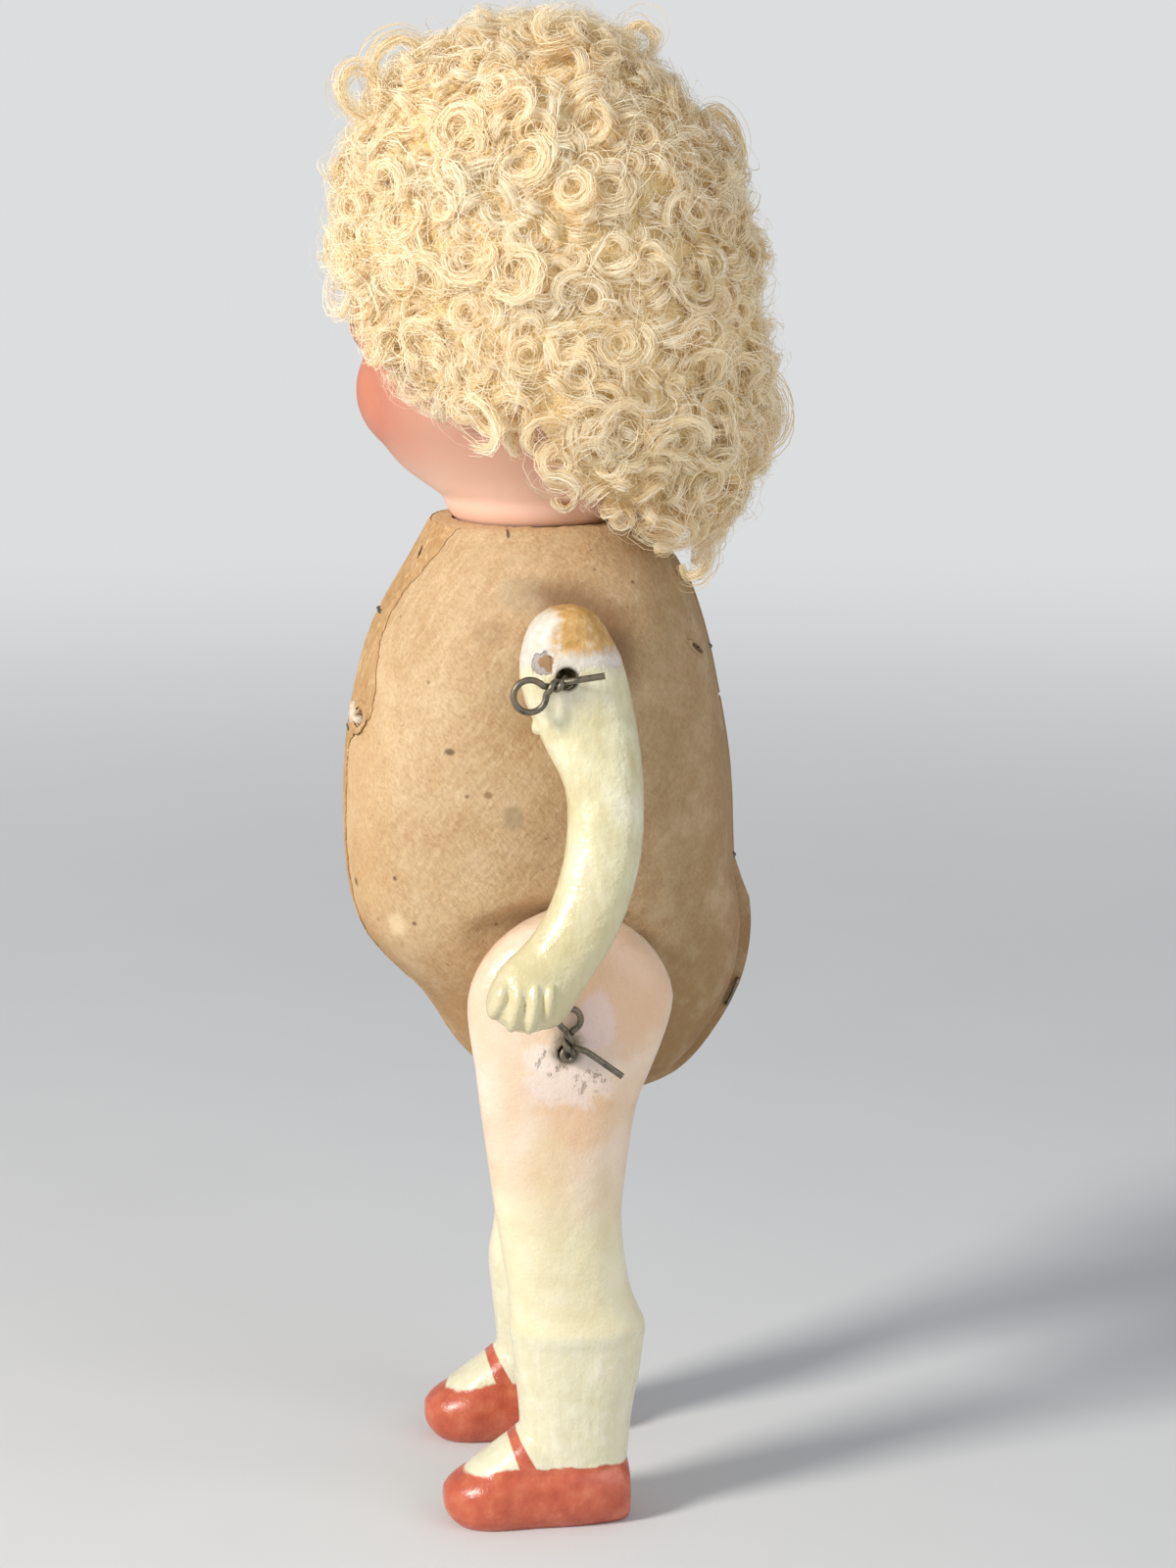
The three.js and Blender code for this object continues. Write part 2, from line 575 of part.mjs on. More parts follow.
// The hook hangs by its eye on the button and catches under the arm wire.
function neckHookPath() {
  const eyeCentre = buttonTop + SEAT_GAP + WIRE_RADIUS + HOOK_EYE_RADIUS;
  const catchRadius = 2 * WIRE_RADIUS + SEAT_GAP;
  const point = (radius, degrees, middle, back) => {
    const angle = THREE.MathUtils.degToRad(degrees);
    return new THREE.Vector3(0, back + radius * Math.cos(angle), middle + radius * Math.sin(angle));
  };
  const eye = [-30, 0, 30, 60, 90, 120, 150, 180, 210, 235].map((a) =>
    point(HOOK_EYE_RADIUS, a, eyeCentre, 0));
  const stem = [
    new THREE.Vector3(0, 0, buttonTop),
    new THREE.Vector3(0, 0, buttonBottom),
    new THREE.Vector3(0, 0, shoulderHeight + 4 * catchRadius),
  ];
  const hook = [180, 210, 240, 270, 300, 330, 360].map((a) =>
    point(catchRadius, a, shoulderHeight, SHOULDER_BACK));
  const tip = new THREE.Vector3(0, SHOULDER_BACK + catchRadius, shoulderHeight + HOOK_TIP);
  return [...eye, ...stem, ...hook, tip];
}

// The least gap that a bent wire keeps to itself, measured between points along it.
function leastGap(path) {
  const lengths = path.map((p, n) => (n === 0 ? 0 : p.distanceTo(path[n - 1])));
  const samples = [];
  let run = 0;
  for (let n = 1; n < path.length; n += 1) {
    for (let t = 0; t < 1; t += 0.1) {
      samples.push({ place: path[n - 1].clone().lerp(path[n], t), run: run + t * lengths[n] });
    }
    run += lengths[n];
  }
  const sameBend = 8 * WIRE_RADIUS; // nearer than this along the wire is one and the same bend
  let least = Infinity;
  for (const a of samples) {
    for (const b of samples) {
      if (b.run - a.run > sameBend) least = Math.min(least, a.place.distanceTo(b.place));
    }
  }
  return least - 2 * WIRE_RADIUS;
}

// Head, modelled facing -Y; its group is turned

function skullForm(grow) {
  const stations = sized(HEAD_STATIONS, RIM_HEIGHT, HEAD_TALL, HEAD_DEEP, HEAD_WIDE);
  const rings = stations.map((station, n, all) => ({
    height: station.height + grow * THREE.MathUtils.clamp((8 * n) / (all.length - 1) - 4, -1, 1),
    front: station.front - grow,
    back: station.back + grow,
    half: station.half + grow,
  }));
  return solid(loft(rings.map((ring) => levelRing(ring, HEAD_SIDES, HEAD_SQUARENESS))));
}

function above(height) {
  return box(new THREE.Vector3(-FAR, -FAR, height), new THREE.Vector3(FAR, FAR, FAR));
}

const crownHeight = RIM_HEIGHT + CROWN_CUT;

// Cheeks, chin, nose and lips stand out from the skull.
function faceRelief() {
  return FACE_BUMPS
    .map(({ size, side, forward, up }) => {
      const middle = new THREE.Vector3(side, -forward, up).multiplyScalar(HEAD_WIDE);
      return ball(new THREE.Vector3(...size).multiplyScalar(HEAD_WIDE), middle.add(rimMiddle));
    })
    .reduce((all, bump) => all.add(bump));
}

function eyeMiddle(side) {
  return new THREE.Vector3(side * EYE_APART, -EYE_FORWARD, RIM_HEIGHT + EYE_ABOVE_RIM);
}

function round(radius) {
  return new THREE.Vector3(radius, radius, radius);
}

function eyeSocket(side) {
  return ball(round(EYE_RADIUS + EYE_PLAY), eyeMiddle(side));
}

function headShell() {
  const neckBore = turned([
    new THREE.Vector2(0, 0), new THREE.Vector2(NECK_BORE_RADIUS, 0),
    new THREE.Vector2(NECK_BORE_RADIUS, RIM_HEIGHT + NECK_TOP), new THREE.Vector2(0, RIM_HEIGHT + NECK_TOP),
  ], HOLE_SIDES);
  return skullForm(0)
    .add(neckForm(0, RIM_HEIGHT + NECK_TOP))
    .add(faceRelief())
    .subtract(skullForm(-BISQUE))
    .subtract(neckForm(BISQUE, RIM_HEIGHT + NECK_TOP))
    .subtract(neckBore)
    .subtract(eyeSocket(1))
    .subtract(eyeSocket(-1))
    .subtract(above(crownHeight));
}

// A blown glass eye: a hollow ball with a short open stem at the back.
function glassEye() {
  const inner = EYE_RADIUS - EYE_GLASS;
  const profile = [];
  const stemAngle = (radius) => Math.asin(EYE_STEM_RADIUS / radius);
  const steps = 6;
  for (let n = 0; n <= steps; n += 1) {
    const angle = (n / steps) * (Math.PI - stemAngle(EYE_RADIUS));
    profile.push(new THREE.Vector2(EYE_RADIUS * Math.sin(angle), -EYE_RADIUS * Math.cos(angle)));
  }
  for (let n = steps; n >= 0; n -= 1) {
    const angle = (n / steps) * (Math.PI - stemAngle(inner));
    profile.push(new THREE.Vector2(inner * Math.sin(angle), -inner * Math.cos(angle)));
  }
  return new THREE.LatheGeometry(profile, BALL_SIDES);
}

function eyePlaster(side) {
  return ball(round(EYE_RADIUS + EYE_PLAY + PLASTER), eyeMiddle(side))
    .subtract(eyeSocket(side))
    .intersect(skullForm(-BISQUE - SEAT_GAP));
}

function crownPate() {
  return skullForm(0).subtract(skullForm(-PATE_CARD)).intersect(above(crownHeight + SEAT_GAP));
}

// Wig

const capTop = SEAT_GAP + GAUZE;

// Everything above a slope that runs from the hairline on the forehead down to the nape.
function hairline() {
  const tilt = -THREE.MathUtils.degToRad(HAIRLINE_SLOPE);
  const slope = new THREE.BoxGeometry(FAR, FAR, FAR).translate(0, 0, FAR / 2).rotateX(tilt);
  return solid(slope.translate(0, 0, RIM_HEIGHT + HAIRLINE_ABOVE_RIM));
}

function wigCap() {
  return skullForm(capTop).subtract(skullForm(SEAT_GAP)).intersect(hairline());
}

// A mass of hair whose surface swells into rows of curls.
function curlyMass() {
  const sides = CURLS_ROUND * CURL_SIDES;
  const stations = sized(WIG_STATIONS, RIM_HEIGHT, wigTall, wigDeep, wigWide);
  const rings = smooth(stations, WIG_STEPS).map((station, n) => {
    const row = Math.floor(n / CURL_RINGS);
    const high = Math.sin((Math.PI * n) / CURL_RINGS) ** 2;
    const middle = new THREE.Vector3(0, (station.front + station.back) / 2, station.height);
    return levelRing(station, sides).map((point, k) => {
      const wide = Math.sin(Math.PI * (k / CURL_SIDES + row / 2)) ** 2;
      return point.addScaledVector(point.clone().sub(middle).normalize(), CURL_RISE * high * wide);
    });
  });
  return solid(loft(rings));
}

// The space that the neck and the turning shoulders need under the hair.
function shoulderSpace() {
  const reach = (ring) => Math.max(-ring.front, ring.back, ring.half) + SHOULDER_CLEAR;
  const upper = torsoRings.filter((ring) => ring.height > shoulderHeight);
  const profile = upper.map((ring) => new THREE.Vector2(reach(ring), ring.height + SHOULDER_CLEAR));
  return turned([
    new THREE.Vector2(0, 0), new THREE.Vector2(profile[0].x, 0), ...profile,
    new THREE.Vector2(NECK_RADIUS + SHOULDER_CLEAR, RIM_HEIGHT + NECK_TOP),
    new THREE.Vector2(0, RIM_HEIGHT + NECK_TOP),
  ], HEAD_SIDES);
}

// The hair stands back from the face.
function faceOpening() {
  const { size, forward, up } = FACE_OPENING;
  const middle = new THREE.Vector3(0, -forward, up).multiplyScalar(wigWide).add(rimMiddle);
  return ball(new THREE.Vector3(...size).multiplyScalar(wigWide), middle, 2 * BALL_SIDES);
}

function wigForm() {
  return curlyMass()
    .subtract(faceOpening())
    .subtract(skullForm(capTop + SEAT_GAP))
    .subtract(eyeSocket(1))
    .subtract(eyeSocket(-1))
    .subtract(shoulderSpace());
}

function wefts() {
  const wig = wigForm();
  const part = HAIR_PART / 2;
  const zone = (low, high) => wig.intersect(box(new THREE.Vector3(...low), new THREE.Vector3(...high)));
  const seam = RIM_HEIGHT + CROWN_HAIR_ABOVE_RIM - part;
  const side = SIDE_HAIR_HALF - part;
  return {
    hair_crown: zone([-FAR, -FAR, seam + HAIR_PART], [FAR, FAR, FAR]),
    hair_fringe: zone([-FAR, -FAR, 0], [FAR, -SIDE_HAIR_HALF - part, seam]),
    hair_left: zone([part, -side, 0], [FAR, side, seam]),
    hair_right: zone([-FAR, -side, 0], [-part, side, seam]),
    hair_back: zone([-FAR, SIDE_HAIR_HALF + part, 0], [FAR, FAR, seam]),
  };
}

// Arms

const handInner = legKnotOuter + SWING_GAP;

// How far out the arm's inner face is: flat at the shoulder, then splayed past the thigh's wire.
function armInner(up) {
  const shoulder = SHOULDER_SEAT_HALF + SEAT_GAP;
  const knotReach = ARM_LOOP_REACH + ARM_LOOP_RADIUS;
  const share = THREE.MathUtils.clamp((up + knotReach) / (armRings.at(-2).up + knotReach), 0, 1);
  return THREE.MathUtils.lerp(shoulder, handInner, share ** ARM_SPLAY_POWER);
}

function leftArm() {
  const middle = ({ back, up, thick }) => {
    const flat = THREE.MathUtils.smoothstep(up, 0, armRings[0].up) * (armRings[2].thick - thick);
    return new THREE.Vector3(armInner(up) + thick + flat, back, up);
  };
  const rings = armRings.map((station, n) => {
    const before = armRings[Math.max(n - 1, 0)];
    const after = armRings[Math.min(n + 1, armRings.length - 1)];
    const along = new THREE.Vector3(0, after.back - before.back, after.up - before.up).normalize();
    const across = along.clone().cross(LEFT);
    return oval(middle(station), LEFT, across, station.thick, station.deep, LIMB_SIDES, ARM_SQUARENESS);
  });
  const [palm, tip] = [armRings.at(-2), armRings.at(-1)].map(middle);
  const ahead = tip.clone().sub(palm).setX(0).normalize();
  const across = ahead.clone().cross(LEFT);
  const fingerHalf = FINGER_PITCH / 2 + FINGER_LAP;
  const fingers = [-1.5, -0.5, 0.5, 1.5].map((n) => {
    const root = tip
      .clone()
      .addScaledVector(ahead, -FINGER_STAGGER * Math.abs(n))
      .addScaledVector(across, n * FINGER_PITCH);
    const start = root.clone().addScaledVector(ahead, -FINGER_LENGTH);
    const end = root.clone().addScaledVector(ahead, FINGER_LENGTH / 2);
    const knuckles = FINGER_GIRTHS.map((girth, k) => {
      const place = start.clone().lerp(end, k / (FINGER_GIRTHS.length - 1));
      return oval(place, LEFT, across, FINGER_THICK * girth, fingerHalf * girth, WIRE_SIDES);
    });
    return solid(loft(knuckles));
  });
  return fingers
    .reduce((arm, finger) => arm.add(finger), solid(loft(rings)))
    .subtract(sideHole(WIRE_RADIUS + WIRE_PLAY, 0, 0, 0, FAR));
}

// Legs

function leftLeg() {
  const inner = HIP_SEAT_HALF + SEAT_GAP;
  const thighMiddle = HIP_HEIGHT + THIGH_UP;
  const thighHalf = THIGH_THICK / 2;
  const roundTop = [80, 62, 44, 26, 8].map((degrees) => {
    const angle = THREE.MathUtils.degToRad(degrees);
    const deep = THIGH_RADIUS * Math.cos(angle);
    const half = thighHalf - THIGH_EDGE * (1 - Math.cos(angle)) ** 2;
    const height = thighMiddle + THIGH_RADIUS * Math.sin(angle);
    return { height, front: THIGH_BACK - deep, back: THIGH_BACK + deep, half, out: inner + half };
  });
  const { below, front, back } = THIGH_LOW;
  const lower = { height: HIP_HEIGHT - below, front, back, half: thighHalf, out: inner + thighHalf };
  const stations = [...roundTop, lower, KNEE, CALF, SOCK_TOP, SOCK, ANKLE, HEEL];
  const column = loft(stations.map((station) => levelRing(station, LIMB_SIDES, LEG_SQUARENESS)));
  const foot = loft(FOOT_STATIONS.map((station) => {
    const top = station.top * FOOT_TALL;
    const middle = new THREE.Vector3(FOOT_MIDDLE, station.back * FOOT_LONG, top * FOOT_RING_MIDDLE);
    const half = station.half * FOOT_WIDE;
    return oval(middle, LEFT, UP, half, top * (1 - FOOT_RING_MIDDLE), LIMB_SIDES, FOOT_SQUARENESS);
  }));
  return solid(column)
    .add(solid(foot))
    .intersect(above(0))
    .subtract(sideHole(WIRE_RADIUS + WIRE_PLAY, 0, HIP_HEIGHT, 0, FAR));
}

// Materials

function finish(color, roughness, metalness = 0) {
  return () => new THREE.MeshStandardMaterial({ color, roughness, metalness });
}

const bisquePaint = finish(0xe8a08a, 0.45);
const glass = finish(0x5a3a22, 0.08);
const plaster = finish(0xe9e2d2, 0.9);
const card = finish(0xb98d5c, 0.85);
const paper = finish(0xc79f6e, 0.9);
const gauze = finish(0xd9cdb0, 0.95);
const mohair = finish(0xead9ab, 0.6);
const ironWire = finish(0x5d5547, 0.45, 0.9);
const turnedWood = finish(0xa67f52, 0.7);
const armPaint = finish(0xe2d7a4, 0.25);
const legPaint = finish(0xe8c9b0, 0.28);

function piece(name, geometry, material) {
  const mesh = new THREE.Mesh(geometry, material());
  mesh.name = name;
  return mesh;
}

// Assembly

const doll = new THREE.Group();

const holes = stapleHoles();
const torso = new THREE.Group();
torso.add(
  piece("torso_left_half", geometryOf(torsoHalf(1, holes)), card),
  piece("torso_right_half", geometryOf(torsoHalf(-1, holes)), card),
  piece("front_seam_paper", geometryOf(seamPaper(holes)), paper),
);
for (const [name, path] of Object.entries(staplePaths)) {
  torso.add(piece(name, geometryOf(bar(rounded(path, STAPLE_BEND), STAPLE_RADIUS)), ironWire));
}
const wires = { arm_wire: armWirePath, leg_wire: legWirePath, neck_hook: neckHookPath() };
for (const [name, path] of Object.entries(wires)) {
  torso.add(piece(name, geometryOf(bar(path, WIRE_RADIUS)), ironWire));
  console.log(`${name}: least gap to itself ${leastGap(path).toFixed(2)} mm`);
}

const head = new THREE.Group();
head.rotation.z = THREE.MathUtils.degToRad(HEAD_TURN);
head.add(
  piece("head", geometryOf(headShell()), bisquePaint),
  piece("crown_pate", geometryOf(crownPate()), card),
  piece("neck_button", geometryOf(neckButton()), turnedWood),
  piece("wig_cap", geometryOf(wigCap()), gauze),
);
for (const [name, weft] of Object.entries(wefts())) {
  head.add(piece(name, geometryOf(weft), mohair));
}
for (const [name, side] of [["left", 1], ["right", -1]]) {
  const eye = piece(`${name}_eye`, facingOut(glassEye()), glass);
  eye.position.copy(eyeMiddle(side));
  head.add(eye, piece(`${name}_eye_plaster`, geometryOf(eyePlaster(side)), plaster));
}

const armShape = geometryOf(leftArm());
const legShape = geometryOf(leftLeg());
for (const [name, side] of [["left", 1], ["right", -1]]) {
  const arm = piece(`${name}_arm`, armShape, armPaint);
  arm.position.set(0, SHOULDER_BACK, shoulderHeight);
  const leg = piece(`${name}_leg`, legShape, legPaint);
  leg.position.set(0, HIP_BACK, 0);
  arm.scale.x = side;
  leg.scale.x = side;
  doll.add(arm, leg);
}
doll.add(torso, head);

// The origin is on the floor under the middle of the doll's box.
const reach = new THREE.Box3().setFromObject(doll);
const shift = -reach.getCenter(new THREE.Vector3()).y;
doll.position.y = shift;

console.log(`neck axis at y ${shift.toFixed(3)}`);
console.log(`shoulder wire at y ${(shift + SHOULDER_BACK).toFixed(3)}, z ${shoulderHeight}`);
console.log(`hip wire at y ${(shift + HIP_BACK).toFixed(3)}, z ${HIP_HEIGHT}`);

export default doll;
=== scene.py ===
# %% [markdown]
# # A small bisque-head doll on a pressed-card body
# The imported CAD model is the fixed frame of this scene. It gives each piece its place, and the bodies
# that the pieces ride on. Everything here is in metres; `MM` turns the millimetres of the work bench
# into metres.

# %% Load the frame
import json
import math
from contextlib import contextmanager

import bpy
import numpy as np
from mathutils import Matrix, Vector
from mathutils.kdtree import KDTree


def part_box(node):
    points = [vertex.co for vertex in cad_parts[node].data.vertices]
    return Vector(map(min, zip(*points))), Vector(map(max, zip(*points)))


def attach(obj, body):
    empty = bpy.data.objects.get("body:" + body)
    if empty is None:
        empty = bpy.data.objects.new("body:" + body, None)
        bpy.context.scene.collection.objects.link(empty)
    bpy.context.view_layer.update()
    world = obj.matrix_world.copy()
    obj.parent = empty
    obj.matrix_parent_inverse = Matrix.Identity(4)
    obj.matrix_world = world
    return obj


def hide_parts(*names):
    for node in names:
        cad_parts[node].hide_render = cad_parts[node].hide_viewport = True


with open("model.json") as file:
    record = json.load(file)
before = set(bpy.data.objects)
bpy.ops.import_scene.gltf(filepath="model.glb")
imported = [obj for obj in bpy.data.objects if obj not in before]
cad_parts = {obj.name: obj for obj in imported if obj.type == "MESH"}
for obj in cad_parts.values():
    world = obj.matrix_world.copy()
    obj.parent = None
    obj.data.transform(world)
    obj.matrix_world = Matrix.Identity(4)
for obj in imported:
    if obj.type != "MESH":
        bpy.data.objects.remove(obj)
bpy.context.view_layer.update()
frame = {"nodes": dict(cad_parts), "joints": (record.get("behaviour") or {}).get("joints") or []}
MM = 0.001
joints = {joint["name"]: Vector(joint["pos_m"]) for joint in frame["joints"]}
neck = joints["neck_turn"]
shoulder = joints["left_shoulder"]
hip = joints["left_hip"]

# %% [markdown]
# ## Camera, light and floor
# The doll is seen from its left side, from slightly above and with its chest turned a few degrees
# towards the camera. A long lens keeps it upright. One soft lamp stands high in front of the doll, as a
# window would, and a weak one fills the shade at its back.

# %% Camera
CAMERA_PLACE = Vector((464.4, -53.65, 190.6)) * MM
CAMERA_LOOK = Vector((-0.972, 0.1185, -0.2031))
bpy.ops.object.camera_add(location=CAMERA_PLACE, rotation=CAMERA_LOOK.to_track_quat("-Z", "Y").to_euler())
camera = bpy.context.object
camera.data.sensor_width = 36
camera.data.lens = 85.16
camera.data.clip_start = 0.02
bpy.context.scene.camera = camera
bpy.context.scene.view_settings.view_transform = "Standard"
print("camera at", [round(c / MM) for c in camera.location], "mm, lens", camera.data.lens, "mm")

# %% Lamps and world
CHEST = Vector((0, 0, 0.10))


def soft_lamp(name, place, size, power, tint):
    """A round lamp of this diameter in metres and this power in watts, aimed at the chest."""
    place = Vector(place)
    turn = (CHEST - place).to_track_quat("-Z", "Y").to_euler()
    bpy.ops.object.light_add(type="AREA", location=place, rotation=turn)
    lamp = bpy.context.object
    lamp.name = name
    lamp.data.shape = "DISK"
    lamp.data.size = size
    lamp.data.energy = power
    lamp.data.color = tint


soft_lamp("window", (0.36, -0.68, 0.48), 0.22, 8.0, (1.0, 0.965, 0.91))
soft_lamp("fill", (0.65, 0.55, 0.40), 0.9, 3.1, (0.94, 0.97, 1.0))
world = bpy.data.worlds.new("studio")
bpy.context.scene.world = world
world.use_nodes = True
sky = world.node_tree.nodes["Background"]
sky.inputs["Color"].default_value = (0.90, 0.93, 1.0, 1)
sky.inputs["Strength"].default_value = 0.40

# %% [markdown]
# ## Small helpers for nodes
# A procedural finish is a little network of nodes. These helpers add one node each and return its
# output, so that a finish reads like a recipe: noise, then a threshold, then a mix of two colours. All
# patterns read Object coordinates in millimetres. A number that a node gives is a `Signal`, so that
# sums and products of such numbers are written as sums and products.

# %% Node helpers
def shade(hex_colour):
    """A colour written as on a paint card, in the linear light that shaders use."""
    parts = [int(hex_colour[n:n + 2], 16) / 255 for n in (0, 2, 4)]
    return [p / 12.92 if p < 0.04045 else ((p + 0.055) / 1.055) ** 2.4 for p in parts] + [1]


class Signal:
    """A number that a node gives for each place, to be added, multiplied and so on as any number."""

    def __init__(self, finish, socket):
        self.finish, self.socket = finish, socket

    def __add__(self, other):
        return self.finish.math("ADD", self, other)

    def __sub__(self, other):
        return self.finish.math("SUBTRACT", self, other)

    def __rsub__(self, other):
        return self.finish.math("SUBTRACT", other, self)

    def __mul__(self, other):
        return self.finish.math("MULTIPLY", self, other)

    def __truediv__(self, other):
        return self.finish.math("DIVIDE", self, other)

    def __pow__(self, other):
        return self.finish.math("POWER", self, other)

    def __abs__(self):
        return self.finish.math("ABSOLUTE", self)

    __radd__, __rmul__ = __add__, __mul__


class Finish:
    """A material with its Principled shader and short names for the nodes that feed it."""

    def __init__(self, name, centre=(0, 0, 0), turn=0.0):
        self.material = bpy.data.materials.new(name)
        self.material.use_nodes = True
        self.tree = self.material.node_tree
        self.shader = self.tree.nodes["Principled BSDF"]
        here = self.node("ShaderNodeTexCoord").outputs["Object"]
        self.place = self.mapped(here, [-c / MM for c in centre], (0, 0, 0), (1 / MM,) * 3)
        if turn:
            self.place = self.mapped(self.place, (0, 0, 0), (0, 0, turn), (1, 1, 1))
        split = self.node("ShaderNodeSeparateXYZ", Vector=self.place)
        self.x, self.y, self.z = (Signal(self, axis) for axis in split.outputs)

    def node(self, kind, **inputs):
        made = self.tree.nodes.new(kind)
        for name, value in inputs.items():
            self.feed(made.inputs[name.replace("_", " ")], value)
        return made

    def feed(self, socket, value):
        if isinstance(value, Signal):
            value = value.socket
        if isinstance(value, bpy.types.NodeSocket):
            self.tree.links.new(value, socket)
        else:
            socket.default_value = value

    def mapped(self, vector, location, rotation, scale):
        made = self.node("ShaderNodeMapping", Vector=vector)
        made.inputs["Location"].default_value = location
        made.inputs["Rotation"].default_value = rotation
        made.inputs["Scale"].default_value = scale
        return made.outputs["Vector"]

    def math(self, operation, *values):
        made = self.node("ShaderNodeMath")
        made.operation = operation
        for socket, value in zip(made.inputs, values):
            self.feed(socket, value)
        return Signal(self, made.outputs[0])

    def hypot(self, first, second):
        return self.math("SQRT", first ** 2 + second ** 2)

    def noise(self, scale, detail=3.0, rough=0.55, stretch=(1, 1, 1), shift=0.0, slant=0.0):
        vector = self.mapped(self.place, (shift,) * 3, (slant, 0, 0), (1, 1, 1))
        vector = self.mapped(vector, (0, 0, 0), (0, 0, 0), stretch)
        made = self.node("ShaderNodeTexNoise", Vector=vector, Scale=scale, Detail=detail, Roughness=rough)
        return Signal(self, made.outputs["Fac"])

    def specks(self, scale, shift=0.0):
        vector = self.mapped(self.place, (shift,) * 3, (0, 0, 0), (1, 1, 1))
        made = self.node("ShaderNodeTexVoronoi", Vector=vector, Scale=scale)
        return Signal(self, made.outputs["Distance"])

    def rise(self, value, low, high):
        """0 below low, 1 above high, smooth between them; high may be the smaller of the two."""
        made = self.node("ShaderNodeMapRange", Value=value)
        made.interpolation_type = "SMOOTHSTEP"
        for name, setting in (("From Min", low), ("From Max", high), ("To Min", 0.0), ("To Max", 1.0)):
            made.inputs[name].default_value = setting
        return Signal(self, made.outputs["Result"])

    def spot(self, x, y, z, near, far):
        """1 within near of a place, 0 beyond far."""
        gap = self.node("ShaderNodeVectorMath", Vector=self.place)
        gap.operation = "DISTANCE"
        gap.inputs[1].default_value = (x, y, z)
        return self.rise(gap.outputs["Value"], far, near)

    def blot(self, y, z, wide, tall, fray=0.0, soft=0.2):
        """1 inside an oval seen from the side of the doll, 0 outside, with a frayed edge."""
        off = [(axis - place) / size for axis, place, size in ((self.y, y, wide), (self.z, z, tall))]
        reach = self.hypot(*off)
        if fray:
            reach = self.noise(0.5, 5, 0.65, shift=3 * y + z) * fray + reach
        return self.rise(reach, 1 + fray / 2 + soft, 1 + fray / 2 - soft)

    def mix(self, share, first, second):
        """Two colours mixed; a colour may be written as on a paint card."""
        made = self.node("ShaderNodeMix")
        made.data_type = "RGBA"
        self.feed(made.inputs["Factor"], share)
        for name, colour in (("A", first), ("B", second)):
            self.feed(made.inputs[name], shade(colour) if isinstance(colour, str) else colour)
        return made.outputs["Result"]

    def ramp(self, value, *stops):
        made = self.node("ShaderNodeValToRGB", Fac=value)
        while len(made.color_ramp.elements) < len(stops):
            made.color_ramp.elements.new(0.5)
        for element, (place, colour) in zip(made.color_ramp.elements, stops):
            element.position = place
            element.color = shade(colour)
        return made.outputs["Color"]

    def relief(self, height, depth):
        """Bump from a height that runs from 0 to 1, this many millimetres deep."""
        made = self.node("ShaderNodeBump", Height=height, Strength=1.0, Distance=depth * MM)
        last = self.shader.inputs["Normal"].links
        if last:
            self.feed(made.inputs["Normal"], last[0].from_socket)
        self.feed(self.shader.inputs["Normal"], made.outputs["Normal"])

    def blend(self, share, other):
        """Mix another shader into the surface."""
        both = self.node("ShaderNodeMixShader", Fac=share)
        self.feed(both.inputs[1], self.shader.outputs["BSDF"])
        self.feed(both.inputs[2], other)
        self.feed(self.tree.nodes["Material Output"].inputs["Surface"], both.outputs["Shader"])

    def set(self, **values):
        for name, value in values.items():
            self.feed(self.shader.inputs[name.replace("_", " ")], value)


print("finishes are written as recipes")

# %% Floor
FLOOR_RADIUS = 8
bpy.ops.mesh.primitive_circle_add(vertices=96, radius=FLOOR_RADIUS, fill_type="NGON")
floor = bpy.context.object
floor.name = "floor"
PALE = shade("DCDDDE")
pale = Finish("pale_floor")
pale.set(Base_Color=pale.mix(pale.noise(0.02), "D2D3D4", "D8D9D9"), Roughness=0.9)
glow = pale.node("ShaderNodeEmission", Color=PALE, Strength=1.0)
reach = pale.node("ShaderNodeVectorMath", Vector=pale.place)
reach.operation = "LENGTH"
far = pale.rise(reach.outputs["Value"], 150, 900)
seen = far * pale.node("ShaderNodeLightPath").outputs["Is Camera Ray"]
pale.blend(seen, glow.outputs["Emission"])
floor.data.materials.append(pale.material)
print("floor radius", FLOOR_RADIUS, "m")

# %% Backdrop
nodes, links = world.node_tree.nodes, world.node_tree.links
backdrop = nodes.new("ShaderNodeBackground")
backdrop.inputs["Color"].default_value = PALE
backdrop.inputs["Strength"].default_value = 1.0
either = nodes.new("ShaderNodeMixShader")
links.new(nodes.new("ShaderNodeLightPath").outputs["Is Camera Ray"], either.inputs["Fac"])
links.new(sky.outputs["Background"], either.inputs[1])
links.new(backdrop.outputs["Background"], either.inputs[2])
links.new(either.outputs["Shader"], nodes["World Output"].inputs["Surface"])
print("backdrop matches the far floor")

# %% [markdown]
# ## Shaping helpers
# Nearly every piece of the doll was pressed or poured in a mould, so its form is a stack of ovals. By
# hand one adds a circle, extrudes it from oval to oval, and scales and tilts it on the way. A voxel
# remesh then welds such stacks together, and a smooth modifier gives the soft edges of a mould.

# %% Shaping helpers
def only(piece):
    if bpy.context.object and bpy.context.object.mode != "OBJECT":
        bpy.ops.object.mode_set(mode="OBJECT")
    bpy.ops.object.select_all(action="DESELECT")
    piece.select_set(True)
    bpy.context.view_layer.objects.active = piece


@contextmanager
def editing(piece):
    """Edit mode on one piece, with all of it selected."""
    only(piece)
    bpy.ops.object.mode_set(mode="EDIT")
    bpy.ops.mesh.select_all(action="SELECT")
    yield
    bpy.ops.object.mode_set(mode="OBJECT")


def copied(piece, name):
    only(piece)
    bpy.ops.object.duplicate()
    bpy.context.object.name = name
    return bpy.context.object


